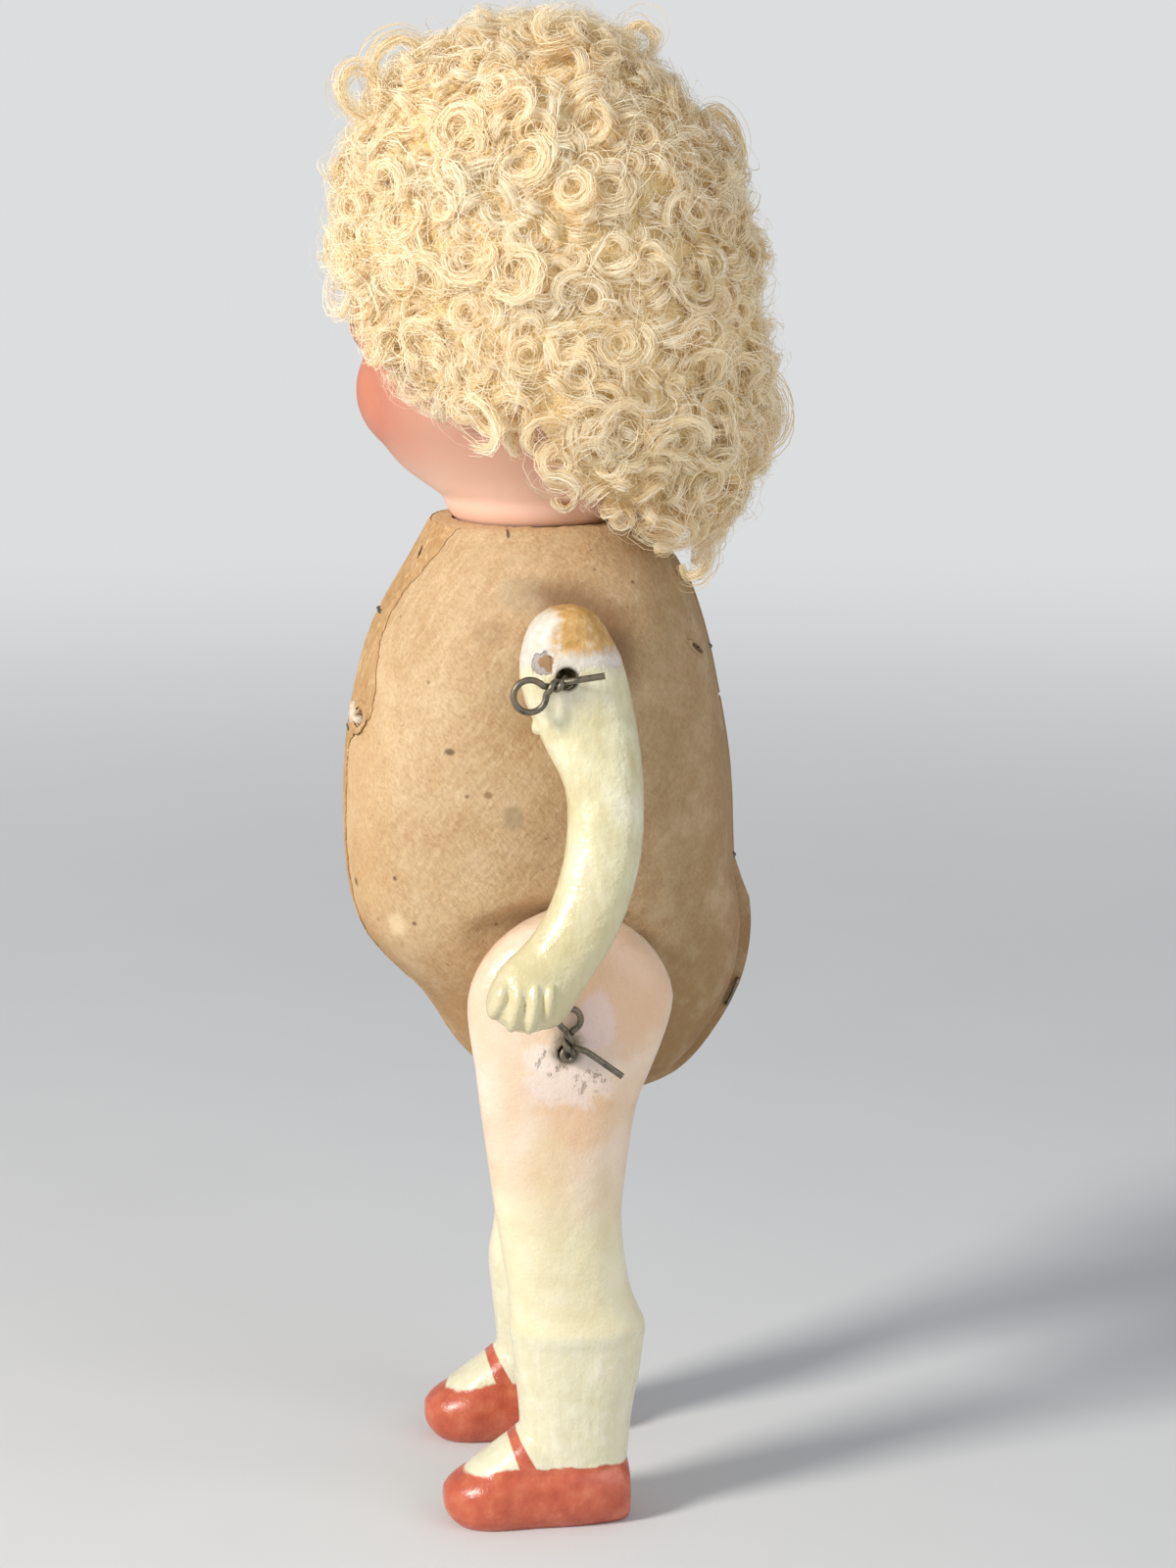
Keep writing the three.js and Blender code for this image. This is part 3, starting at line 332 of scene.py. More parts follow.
def ring_body(name, rings, sides, square=2.0):
    """A closed body over ovals, each ((x, y, z), half width, half depth, tilt about X), in millimetres."""
    (middle, wide, deep, tilt), later = rings[0], rings[1:]
    bpy.ops.mesh.primitive_circle_add(vertices=sides, radius=MM, fill_type="NGON")
    body = bpy.context.object
    body.name = name
    for corner in body.data.vertices:
        for axis in (0, 1):
            reach = corner.co[axis] / MM
            corner.co[axis] = math.copysign(abs(reach) ** (2 / square), reach) * MM
    bpy.ops.object.mode_set(mode="EDIT")
    place = Vector(middle) * MM
    bpy.ops.transform.resize(value=(wide, deep, 1), center_override=(0, 0, 0))
    bpy.ops.transform.rotate(value=-tilt, orient_axis="X", center_override=(0, 0, 0))
    bpy.ops.transform.translate(value=place)
    for goal, new_wide, new_deep, new_tilt in later:
        step = Vector(goal) * MM - place
        place = Vector(goal) * MM
        share = new_deep / deep
        bpy.ops.mesh.extrude_region_move(TRANSFORM_OT_translate={"value": step})
        bpy.ops.transform.resize(value=(new_wide / wide, share, share), center_override=place)
        bpy.ops.transform.rotate(value=tilt - new_tilt, orient_axis="X", center_override=place)
        wide, deep, tilt = new_wide, new_deep, new_tilt
    bpy.ops.mesh.select_all(action="SELECT")
    bpy.ops.mesh.normals_make_consistent(inside=False)
    bpy.ops.object.mode_set(mode="OBJECT")
    return body


def between(rows, steps):
    """More rows on a smooth curve through the given ones."""
    rows = np.array(rows, float)
    made = []
    for n in range(len(rows) - 1):
        a, b, c, d = rows[max(n - 1, 0)], rows[n], rows[n + 1], rows[min(n + 2, len(rows) - 1)]
        for t in np.arange(steps) / steps:
            lead, trail = (c - a) / 2, (d - b) / 2
            bend = 3 * (c - b) - 2 * lead - trail
            made.append(b + t * lead + t**2 * bend + t**3 * (2 * (b - c) + lead + trail))
    return [*made, rows[-1]]


def level_rings(rows):
    """Rows of height, front, back, half width and middle x, as rings round the neck's axis."""
    return [((x, (front + back) / 2 + neck.y / MM, z), half, (back - front) / 2, 0.0)
            for z, front, back, half, x in rows]


def egg(name, middle, size, turn=0.0):
    """An ellipsoid to weld on or cut with, in millimetres."""
    bpy.ops.mesh.primitive_uv_sphere_add(segments=32, ring_count=20, radius=1, location=Vector(middle) * MM)
    made = bpy.context.object
    made.name = name
    made.scale = Vector(size) * MM
    made.rotation_euler.x = turn
    bpy.ops.object.transform_apply(location=True, rotation=True, scale=True)
    return made


def side_bar(name, middle, radius, length, sides=48):
    """A round bar along X, to cut with."""
    bpy.ops.mesh.primitive_cylinder_add(
        vertices=sides, radius=radius * MM, depth=length * MM, location=Vector(middle) * MM,
        rotation=(0, math.pi / 2, 0))
    made = bpy.context.object
    made.name = name
    bpy.ops.object.transform_apply(location=True, rotation=True, scale=True)
    return made


def finish_with(piece, kind, **settings):
    only(piece)
    bpy.ops.object.modifier_add(type=kind)
    modifier = piece.modifiers[-1]
    for name, value in settings.items():
        setattr(modifier, name, value)
    bpy.ops.object.modifier_apply(modifier=modifier.name)


def cut(piece, *tools):
    for tool in tools:
        finish_with(piece, "BOOLEAN", object=tool, operation="DIFFERENCE", solver="EXACT")
        bpy.data.objects.remove(tool)


def weld(pieces, voxel, softness):
    """Pieces joined into one skin, with this many rounds of smoothing."""
    only(pieces[0])
    for piece in pieces[1:]:
        piece.select_set(True)
    bpy.ops.object.join()
    body = bpy.context.object
    body.data.remesh_voxel_size = voxel * MM
    bpy.ops.object.voxel_remesh()
    if softness:
        finish_with(body, "SMOOTH", factor=0.5, iterations=softness)
    only(body)
    bpy.ops.object.shade_smooth()
    return body


def smooth_under(degrees):
    """Smooth shading on the active piece, with a crisp edge where faces meet at more than this angle."""
    bpy.ops.object.shade_smooth_by_angle(angle=math.radians(degrees))


def select_where(piece, test, kind="FACE"):
    """Edit mode, with only the faces or corners selected whose place in millimetres passes a test."""
    only(piece)
    bpy.ops.object.mode_set(mode="EDIT")
    bpy.ops.mesh.select_mode(type=kind)
    bpy.ops.mesh.select_all(action="DESELECT")
    bpy.ops.object.mode_set(mode="OBJECT")
    items = piece.data.polygons if kind == "FACE" else piece.data.vertices
    for item in items:
        place = item.center if kind == "FACE" else item.co
        item.select = test(*(place / MM))
    bpy.ops.object.mode_set(mode="EDIT")


def dress(piece, body, finish, slot, *nodes):
    piece.data.materials.clear()
    piece.data.materials.append(finish.material)
    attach(piece, body)
    if nodes:
        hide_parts(*nodes)
    faces = sum(len(face.vertices) - 2 for face in piece.data.polygons)
    print(f"{piece.name}: {faces} triangles on body {body}")


print("bench ready")

# %% [markdown]
# ## Body of pressed card
# The trunk is two halves of pressed card that meet in the middle plane. Here the whole trunk is drawn
# up from ovals, the flats where the limbs turn are cut into its sides, and the form is welded and
# smoothed. Half of it is then cut away, and Solidify gives the other half the thickness of card.

# %% Trunk form
TRUNK = [  # height, front, back, half width, middle
    (54.4, -1, 12, 6.5, 0), (56.4, -6.4, 17, 10.2, 0), (60.6, -11, 21, 13.2, 0),
    (67.5, -15.4, 24.9, 15.4, 0), (75, -22.2, 26.2, 16.8, 0), (83, -24.6, 25.2, 18.4, 0),
    (95.8, -24.8, 24.6, 20.8, 0), (105.8, -23.5, 23, 20.9, 0), (114.8, -20.9, 21, 20.3, 0),
    (123, -16.3, 17.8, 17.2, 0), (128.5, -13.3, 12.9, 12.9, 0),
]
SHOULDER_FLAT_RADIUS, HIP_FLAT_RADIUS = 9.4, 17.4
FLATS = [  # joint, half width there, radius
    (shoulder, 20.1, SHOULDER_FLAT_RADIUS), (hip, 15.0, HIP_FLAT_RADIUS),
]
CARD = 1.5
trunk = ring_body("trunk_form", level_rings(between(TRUNK, 3)), 64, 2.3)
for side in (1, -1):
    for middle, reach, radius in FLATS:
        _, y, z = middle / MM
        cut(trunk, side_bar("flat", (side * (reach + 10), y, z), radius, 20))
trunk = weld([trunk], 0.55, 8)
hollow = trunk.vertex_groups.new(name="hollow")
for corner in trunk.data.vertices:
    x, y, z = corner.co / MM
    from_hip = math.hypot(y - hip.y / MM, z - hip.z / MM)
    from_shoulder = math.hypot(y - shoulder.y / MM, z - shoulder.z / MM)
    if abs(x) > 10 and (abs(from_hip - HIP_FLAT_RADIUS - 1) < 6
            or abs(from_shoulder - SHOULDER_FLAT_RADIUS) < 3.5):
        hollow.add([corner.index], 1.0, "REPLACE")
finish_with(trunk, "SMOOTH", factor=0.5, iterations=70, vertex_group="hollow")
print("trunk form:", len(trunk.data.polygons), "faces")

# %% Open the neck and keep the left half
SEAM = 0.03
RIM, RIM_HOLE = neck.z / MM, 10.85
with editing(trunk):
    bpy.ops.mesh.bisect(plane_co=(0, 0, (RIM - 0.3) * MM), plane_no=(0, 0, 1), clear_outer=True)
left_half = copied(trunk, "torso_left_card")
with editing(left_half):
    bpy.ops.mesh.bisect(plane_co=(SEAM * MM, 0, 0), plane_no=(1, 0, 0), clear_inner=True)
select_where(left_half, lambda x, y, z: z > RIM - 0.4, "VERT")
bpy.ops.mesh.select_mode(type="EDGE")
bpy.ops.mesh.extrude_edges_move()
bpy.ops.transform.resize(value=(0.94, 0.94, 1), center_override=(0, neck.y, neck.z))
bpy.ops.transform.translate(value=(0, 0, 0.3 * MM))
bpy.ops.mesh.extrude_edges_move()
bpy.ops.object.mode_set(mode="OBJECT")
for corner in left_half.data.vertices:
    if corner.select:
        away = Vector((corner.co.x, corner.co.y - neck.y)).normalized() * RIM_HOLE * MM
        corner.co.x, corner.co.y = away.x, away.y + neck.y
print("left half:", len(left_half.data.polygons), "faces")

# %% [markdown]
# ## Seam flange
# At the back the two halves meet in a seam that staples hold. Up the back it lies nearly flush, and
# below the hips it stands out as a narrow flange. The seam's open edges are extruded outwards along the
# card's own normals, and split off so that the flange can have a thinner wall.

# %% Flange
FLANGE_RISE, FLUSH_RISE, FLANGE_CARD, FLANGE_TOP, FLANGE_FRONT = 1.6, 0.35, 0.9, 121.0, -7.0
FLANGE_LOW, FLANGE_FADE = 84, 6
at_seam = (SEAM + 0.02) * MM
outward = {tuple(v.co): Vector((0, v.normal.y, v.normal.z)).normalized() for v in left_half.data.vertices
    if v.co.x < at_seam}
select_where(left_half, lambda x, y, z: x * MM < at_seam and y > FLANGE_FRONT + neck.y / MM
    and z < FLANGE_TOP, "VERT")
bpy.ops.mesh.select_mode(type="EDGE")
bpy.ops.mesh.extrude_edges_move()
bpy.ops.object.mode_set(mode="OBJECT")
for corner in left_half.data.vertices:
    if corner.select:
        low = min(max((FLANGE_LOW - corner.co.z / MM) / FLANGE_FADE, 0), 1)
        corner.co += outward[tuple(corner.co)] * (FLUSH_RISE + (FLANGE_RISE - FLUSH_RISE) * low) * MM
for face in left_half.data.polygons:
    face.select = all(left_half.data.vertices[n].co.x < at_seam for n in face.vertices)
bpy.ops.object.mode_set(mode="EDIT")
bpy.ops.mesh.select_mode(type="FACE")
bpy.ops.mesh.separate(type="SELECTED")
bpy.ops.object.mode_set(mode="OBJECT")
flange = next(o for o in bpy.context.selected_objects if o is not left_half)
with editing(flange):
    bpy.ops.mesh.remove_doubles(threshold=0.01 * MM)
    bpy.ops.mesh.normals_make_consistent(inside=False)
if sum(face.normal.x for face in flange.data.polygons) < 0:
    flange.data.flip_normals()
finish_with(flange, "SOLIDIFY", thickness=FLANGE_CARD * MM, offset=1.0)
print("flange:", len(flange.data.polygons), "faces,", [round(c / MM, 2) for c in flange.dimensions], "mm")

# %% [markdown]
# ## Torn places
# Old card tears where it was pressed hardest. An oval of the surface is divided finely and taken out
# before the wall gets its thickness, so a tear shows a real edge, and the card round it is lifted a
# little.

# %% Halves
def tear(piece, middle, wide, tall, slant=0.0, lift=0.15):
    goal = Vector(middle) * MM
    near = min(piece.data.vertices, key=lambda corner: (corner.co - goal).length)
    place, out = near.co / MM, near.normal.copy()
    level = Vector((-out.y, out.x, 0)).normalized()
    steep = out.cross(level)
    along = level * math.cos(slant) + steep * math.sin(slant)
    over = steep * math.cos(slant) - level * math.sin(slant)

    def reach(x, y, z):
        gap = Vector((x, y, z)) - place
        return math.hypot(gap.dot(along) / wide, gap.dot(over) / tall) if gap.length < 5 else 9

    select_where(piece, lambda *at: reach(*at) < 2)
    bpy.ops.mesh.subdivide(number_cuts=2)
    select_where(piece, lambda *at: reach(*at) < 1)
    bpy.ops.mesh.delete(type="FACE")
    select_where(piece, lambda *at: reach(*at) < 1.6, "VERT")
    bpy.ops.transform.shrink_fatten(value=lift * MM)
    bpy.ops.object.mode_set(mode="OBJECT")


right_half = copied(left_half, "torso_right_card")
right_flange = copied(flange, "right_flange")
for piece in (right_half, right_flange):
    piece.data.transform(Matrix.Diagonal((-1, 1, 1, 1)))
    piece.data.flip_normals()
FRONT_HOLE = (6.6, -26.5, 104.2)
tear(left_half, FRONT_HOLE, 1.5, 1.15)
tear(left_half, (11.8, 15.0, 113.1), 1.5, 0.45, -0.54, 0.3)
for half in (left_half, right_half):
    finish_with(half, "SOLIDIFY", thickness=CARD * MM, offset=-1.0)
for half, edge in ((left_half, flange), (right_half, right_flange)):
    only(half)
    edge.select_set(True)
    bpy.ops.object.join()
    smooth_under(40)
print("halves:", len(left_half.data.polygons), len(right_half.data.polygons), "faces")

# %% [markdown]
# ## Card finish
# Pressed card is grey-brown pulp: tan, with paler and darker clouds, short fibres, dark flecks and
# small stains. Its surface is matt with a faint felt-like relief. Each layer is one noise with its own
# scale.

# %% Card finish
card = Finish("pressed_card", (0, neck.y, 0))
SLANT = math.radians(38)
clouds = card.noise(0.07, 4)
colour = card.ramp(clouds, (0.30, "B5946A"), (0.52, "C1A27A"), (0.72, "CCB089"))
fibres = card.noise(1.3, 5, 0.7, (1, 1, 0.22), slant=SLANT)
colour = card.mix(card.rise(fibres, 0.42, 0.72), colour, card.mix(0.4, colour, "DEC8A4"))
grain = card.noise(2.8, 4, 0.7, (1, 1, 0.4), 9.0, -SLANT)
colour = card.mix(card.rise(grain, 0.40, 0.56), card.mix(0.28, colour, "8A5E36"), colour)
sparse = card.rise(card.noise(0.35, 2, shift=40), 0.52, 0.62)
flecks = card.rise(card.specks(0.42), 0.15, 0.05) * sparse
scratch = card.rise(card.noise(1.9, 2, 0.5, (1, 1, 0.14), 23.0, SLANT * 1.6), 0.72, 0.77)
colour = card.mix(card.math("MAXIMUM", flecks, scratch) * 0.6, colour, "5C3D22")
colour = card.mix(card.rise(card.y, -17, -25) * 0.3, colour, "C8975A")
# painted shade: the card is darker towards the bottom of the trunk
colour = card.mix(card.rise(card.z, 84, 66) * 0.7, colour, "9A7448")
# painted shade: the back of the trunk, turned from the window lamp, is darker
colour = card.mix(card.rise(card.y, 2, 17) * 0.55, colour, "8A6C46")
dust = card.rise(card.noise(0.16, 5, 0.7, shift=50), 0.42, 0.75)
colour = card.mix(dust * 0.3, colour, "DFCBA9")
rubbed = card.rise(card.noise(0.3, 5, 0.65, (1, 1, 0.7), 61, SLANT), 0.55, 0.7)
colour = card.mix(rubbed * 0.16, colour, "9A7446")
# dirt and painted shade: a dark ring round the back and top of the shoulder flat, where the arm shades the
# card
from_wire = [card.y - (shoulder.y - neck.y) / MM, card.z - shoulder.z / MM]
ring = card.hypot(*from_wire)
ring = card.rise(ring, 11.5, 8.0) * card.rise(from_wire[0] + from_wire[1], 3, 8)
ring = ring * card.rise(abs(card.x), 12, 15)
colour = card.mix(ring * 0.75, colour, "7A5A3A")
left = card.rise(card.x, 0.5, 1.5)
# the blot at back 7.9 and height 117.6 is dirt and painted shadow of the arm behind the shoulder
BLOTS = [  # back, height, half width, half height, tint, share; on the left side only
    (-12.9, 101.9, 0.6, 0.45, "5A4430", 0.8), (-8.3, 96.6, 0.5, 0.45, "7A5A3A", 0.7),
    (-10.9, 96.4, 0.25, 0.3, "6A4E34", 0.7), (-5.3, 93.6, 1.2, 1.6, "8A7A60", 0.5),
    (-19.0, 78.4, 1.0, 1.6, "DFC69E", 0.8), (7.9, 117.6, 2.2, 2.6, "8A6440", 0.4),
    (-5.0, 128.0, 0.2, 0.5, "4A3220", 0.8), (-4.0, 121.0, 2.6, 2.2, "9A9078", 0.3),
    (-8.0, 116.5, 2.0, 1.4, "9A8060", 0.3),
]
for back, height, wide, tall, tint, share in BLOTS:
    blot = card.blot(back, height, wide, tall, 1.6, 0.45) * left * share
    colour = card.mix(blot, colour, tint)
STAINS = [  # place, inner and outer radius, tint, share
    ((6.5, 18.2, 120.3), 0.2, 0.7, "3E2A1A", 0.9), ((12.8, -19.4, 84.8), 0.1, 0.5, "4A3220", 0.8),
    ((8.7, -21.1, 78.7), 0.1, 0.5, "4A3220", 0.8), ((13.0, -17.0, 79.0), 0.1, 0.5, "4A3220", 0.8),
    ((5.5, -24.0, 82.8), 0.2, 0.9, "5C3D22", 0.8), ((15.6, 10.1, 122.1), 0.1, 0.4, "5C3D22", 0.7),
]
for place, near, wide, tint, share in STAINS:
    colour = card.mix(card.spot(*place, near, wide) * share, colour, tint)
card.set(Base_Color=colour, Roughness=fibres * 0.2 + 0.66)
card.set(Specular_IOR_Level=0.28)
card.relief(card.noise(0.4, 4, 0.6), 0.22)
card.relief(fibres, 0.12)
card.relief(grain, 0.05)
dress(left_half, "torso", card, "pressed_card", "torso_left_half")
dress(right_half, "torso", card, "pressed_card", "torso_right_half")

# %% [markdown]
# ## Paper over the front seam
# A strip of brown paper was pasted over the front seam. It is a copy of the trunk's own surface between
# two lines. Its corners are moved sideways to a ragged edge, wide at the chest and torn off short below
# it, and Shrinkwrap lays them back on the trunk.

# %% Paper strip
PAPER, PAPER_HALF, PAPER_LOW, PAPER_HIGH = 0.12, 9.0, 76.0, 126.6
PAPER_HEIGHTS = [76, 99.5, 101.2, 102.6, 103.6, 107, 112.2, 115.3, 119.5, 123.3, 127]
PAPER_WIDTHS = [2.2, 2.4, 4.6, 8.2, 9.3, 9.6, 7.4, 6.5, 6.0, 7.6, 8.8]
PAPER_CUTS = [  # a place on each cutting plane, and the side that goes
    ((PAPER_HALF, 0, 0), (1, 0, 0)), ((-PAPER_HALF, 0, 0), (-1, 0, 0)),
    ((0, neck.y / MM - 5, 0), (0, 1, 0)), ((0, 0, PAPER_LOW), (0, 0.3, -1)),
    ((0, 0, PAPER_HIGH), (0, 0.2, 1)),
]
strip = copied(trunk, "seam_paper_strip")
for place, way in PAPER_CUTS:
    with editing(strip):
        bpy.ops.mesh.bisect(plane_co=Vector(place) * MM, plane_no=way, clear_outer=True)
for corner in strip.data.vertices:
    x, y, z = corner.co / MM
    ragged = 0.3 * math.sin(z * 0.45 + x) + 0.2 * math.sin(z * 1.9 + x) + 0.12 * math.sin(z * 5.3)
    corner.co.x = x / PAPER_HALF * (np.interp(z, PAPER_HEIGHTS, PAPER_WIDTHS) + ragged) * MM
finish_with(strip, "SHRINKWRAP", target=trunk, wrap_method="NEAREST_SURFACEPOINT",
    wrap_mode="ABOVE_SURFACE", offset=0.03 * MM)
tear(strip, FRONT_HOLE, 1.7, 1.3, lift=0.3)
tear(strip, (5.6, -26.8, 101.9), 0.5, 0.4)
tear(strip, (4.6, -18.5, 124.6), 0.4, 1.0, 0.35)
finish_with(strip, "SOLIDIFY", thickness=PAPER * MM, offset=1.0)
smooth_under(40)
bpy.data.objects.remove(trunk)

paper = Finish("seam_paper", (0, neck.y, 0))
clouds = paper.noise(0.2, 5, 0.6, shift=7)
colour = paper.ramp(clouds, (0.3, "B58F5E"), (0.52, "C4A072"), (0.72, "D2B389"))
laid = paper.noise(1.5, 5, 0.7, (1, 1, 0.25), slant=-0.4)
colour = paper.mix(paper.rise(laid, 0.6, 0.35), paper.mix(0.35, colour, "8A5E36"), colour)
crease = paper.noise(0.7, 3, 0.5, (1.6, 1, 0.16), 13, -0.45)
colour = paper.mix(paper.rise(crease, 0.6, 0.68) * 0.5, colour, "E0C498")
paper.set(Base_Color=colour, Roughness=0.85, Specular_IOR_Level=0.25)
paper.relief(paper.noise(0.45, 4), 0.2)
paper.relief(crease, 0.5)
paper.relief(laid, 0.1)
dress(strip, "torso", paper, "seam_paper", "front_seam_paper")

# %% [markdown]
# ## Filler in the torn hole
# Under the torn paper a crumb of pale filler bulges out of the seam. A few eggs are welded to one lump
# and its surface is roughened by Displace.

# %% Filler lump
x, y, z = FRONT_HOLE
crumbs = [
    egg("front_filler", (x - 2.4, y - 0.6, z - 0.1), (1.4, 0.85, 1.3)),
    egg("crumb", (x - 1.3, y - 0.1, z - 0.6), (0.8, 0.8, 0.7)),
    egg("crumb", (x - 3.0, y - 0.7, z + 0.9), (0.8, 0.6, 0.7)),
]
lump = weld(crumbs, 0.16, 3)
lump.name = "front_filler"
rough = bpy.data.textures.new("crumbs", "CLOUDS")
rough.noise_scale = 0.9 * MM
finish_with(lump, "DISPLACE", texture=rough, strength=0.35 * MM, mid_level=0.5)
filler = Finish("pale_filler")
filler.set(Base_Color=filler.ramp(filler.noise(1.2, 4), (0.3, "B59A7C"), (0.5, "D6C4AE"), (0.7, "E2D6C6")),
    Roughness=0.9)
filler.relief(filler.noise(2.5, 4), 0.15)
dress(lump, "torso", filler, "plaster")

# %% [markdown]
# ## Joint wires
# The limbs hang on two soft iron wires that run through the body. Each end is bent round into a loop,
# twisted on itself and cut off to a tail; the leg wire is first wound into a small coil. A wire is a
# curve with a round bevel: the points give its run, and the bevel its thickness. It is turned into a
# mesh at the end.

# %% Wire helpers
WIRE, WIRE_CLEAR, TWIST_START, COIL_RADIUS = 0.41, 0.3, 0.9, 0.72


def wire(name, points, radius, smooth=True):
    line = bpy.data.curves.new(name, "CURVE")
    line.dimensions = "3D"
    line.bevel_depth = radius * MM
    line.bevel_resolution = 3
    line.resolution_u = 3
    line.use_fill_caps = True
    run = line.splines.new("NURBS" if smooth else "POLY")
    run.points.add(len(points) - 1)
    run.points.foreach_set("co", [c for p in points for c in (*(Vector(p) * MM), 1)])
    if smooth:
        run.order_u = 3
        run.use_endpoint_u = True
    made = bpy.data.objects.new(name, line)
    bpy.context.scene.collection.objects.link(made)
    only(made)
    bpy.ops.object.convert(target="MESH")
    with editing(bpy.context.object):
        bpy.ops.mesh.remove_doubles(threshold=0.002 * MM)
        bpy.ops.mesh.normals_make_consistent(inside=False)
    smooth_under(50)
    return bpy.context.object


def wire_end(outer, loop_radius, reach, tilt, tail, tail_tilt, turns, hub=0.0, knot=0.0):
    """Out of the limb, round a knot if there is one, along the twist, round the loop, back to the tail."""
    lean = math.radians(tilt)
    ahead = Vector((0, math.cos(lean), math.sin(lean)))
    over = Vector((0, -math.sin(lean), math.cos(lean)))
    out = Vector((1, 0, 0))
    lie = outer + WIRE_CLEAR + 2 * WIRE
    twist = WIRE + 0.08

    def strand(t, phase):
        angle = phase + turns * 2 * math.pi * t
        spread = twist * (1 - 0.15 * t)
        step = TWIST_START + (reach - loop_radius - TWIST_START) * t
        return out * (lie + spread * math.cos(angle)) + ahead * step + over * spread * math.sin(angle)

    first = [strand(t, 0) for t in np.linspace(0, 1, 9)]
    back = [strand(t, math.pi) for t in np.linspace(1, 0, 9)]
    centre = out * lie + ahead * reach
    start = math.atan2((first[-1] - centre).dot(over), (first[-1] - centre).dot(ahead))
    end = math.atan2((back[0] - centre).dot(over), (back[0] - centre).dot(ahead))
    way = (end - start) % (2 * math.pi)
    if way < math.pi:
        way -= 2 * math.pi
    loop = []
    for t in np.linspace(0.08, 0.92, 13):
        angle = start + way * t
        depth = (first[-1].x - lie) * (1 - t) + (back[0].x - lie) * t
        loop.append(centre + out * depth + ahead * loop_radius * math.cos(angle)
            + over * loop_radius * math.sin(angle))
    far = lie + twist
    tail_way = Vector((0, math.cos(math.radians(tail_tilt)), math.sin(math.radians(tail_tilt))))
    leave = [out * far + ahead * hub + tail_way * tail * t for t in (0.25, 0.6, 1.0)]
    coil = []
    for t in np.linspace(0, 1, 14) if knot else ():
        angle = 2 * math.pi * knot * (t - 1)
        round_hole = ahead * math.cos(angle) + over * math.sin(angle)
        coil.append(out * (outer + 0.35 + 0.95 * t) + round_hole * COIL_RADIUS)
    return [out * (outer - 3), out * (outer - 0.6), *coil, *first, *loop, *back, *leave]


print("wire radius", WIRE, "mm")

# %% Joint wires
def joint_wire(name, middle, end):
    far_end = [Vector((-p.x, p.y, p.z)) for p in reversed(end)]
    centre = Vector((0, middle.y / MM, middle.z / MM))
    return wire(name, [p + centre for p in (*far_end, *end)], WIRE)


ARM_OUTER, LEG_OUTER, ARM_HOLE, LEG_HOLE = 30.6, 25.5, 1.3, 1.2
iron = Finish("iron_wire")
rust = iron.noise(0.8, 4, 0.65)
iron.set(Base_Color=iron.ramp(rust, (0.32, "4E483E"), (0.55, "7C7464"), (0.74, "80694C")), Metallic=0.7)
iron.set(Roughness=rust * 0.45 + 0.2)
iron.relief(iron.noise(3.5, 3), 0.05)
arm_wire = joint_wire("arm_joint_wire", shoulder, wire_end(ARM_OUTER, 2.0, 4.9, 201, 4.4, 8, 0.75))
leg_wire = joint_wire("leg_joint_wire", hip, wire_end(LEG_OUTER, 1.4, 4.6, 88, 8.2, -37, 0.75, 2.2, 1.4))
dress(arm_wire, "torso", iron, "iron_wire", "arm_wire")
dress(leg_wire, "torso", iron, "iron_wire", "leg_wire")

# %% [markdown]
# ## Staples
# Staples go through the seam at the front and the back. Each is one bent wire whose crown lies on the
# surface, so the surface's outermost point at that height gives its place. The lowest one goes sideways
# through the flange and keeps its CAD shape.

# %% Staples
STAPLE_WIRE = 0.25
# across the seam and out of the card
STAPLE = [(-1.8, -2.5), (-1.8, -0.5), (-1.5, -0.12), (1.5, -0.12), (1.8, -0.5), (1.8, -2.5)]
for node, ground, way in (("front_staple_upper", strip, -1), ("front_staple_lower", strip, -1),
                          ("back_staple_upper", left_half, 1), ("back_staple_middle", left_half, 1)):
    low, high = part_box(node)
    level = (low.z + high.z) / 2 / MM
    near = [v.co.y / MM * way for v in ground.data.vertices if abs(v.co.z / MM - level) < 0.6
        and abs(v.co.x) < 2 * MM]
    skin = max(near)
    path = [(x, way * (skin + rise), level) for x, rise in STAPLE]
    dress(wire(node + "_wire", path, STAPLE_WIRE, smooth=False), "torso", iron, "iron_wire", node)

# %% [markdown]
# ## Bisque head
# The head was poured in a mould and fired: round skull, fat cheeks, a snub nose, and a neck that ends
# in a dome and sits in the hole of the body. Ovals give the skull and the neck, eggs give the cheeks,
# chin, nose and lips, and the weld makes one skin of them. The eye openings are cut last, so that their
# rims stay crisp. The face looks to the doll's right.

# %% Head form
HEAD_TURN = math.radians(-32)
SKULL = [  # height over the rim, front, back, half width, middle
    (3.2, -12.3, 12, 12.3, 0), (5.6, -16.2, 14.6, 14.4, 0), (8, -18.6, 17, 16.6, 0),
    (11.5, -20.2, 19.4, 19.0, 0), (17.5, -20.9, 21.4, 21.6, 0), (26.5, -21, 23, 22.5, 0),
    (35, -21.2, 23.2, 22.2, 0), (43, -19, 21.4, 19.8, 0), (50, -13.8, 16.6, 14.8, 0),
    (54, -7.4, 10.4, 8.6, 0), (55.4, -2, 5, 3.4, 0),
]
NECK_RADIUS, NECK_DOME, NECK_LIFT = 12.0, 6.5, 2.94
EYE_RADIUS, EYE_SIDE, EYE_BACK, EYE_UP = 5.2, 8.4, -15.4, 25


def on_head(x, y, up):
    """A place in the head's own frame, which faces -Y, over the middle of the rim."""
    return (x, y + neck.y / MM, RIM + up)


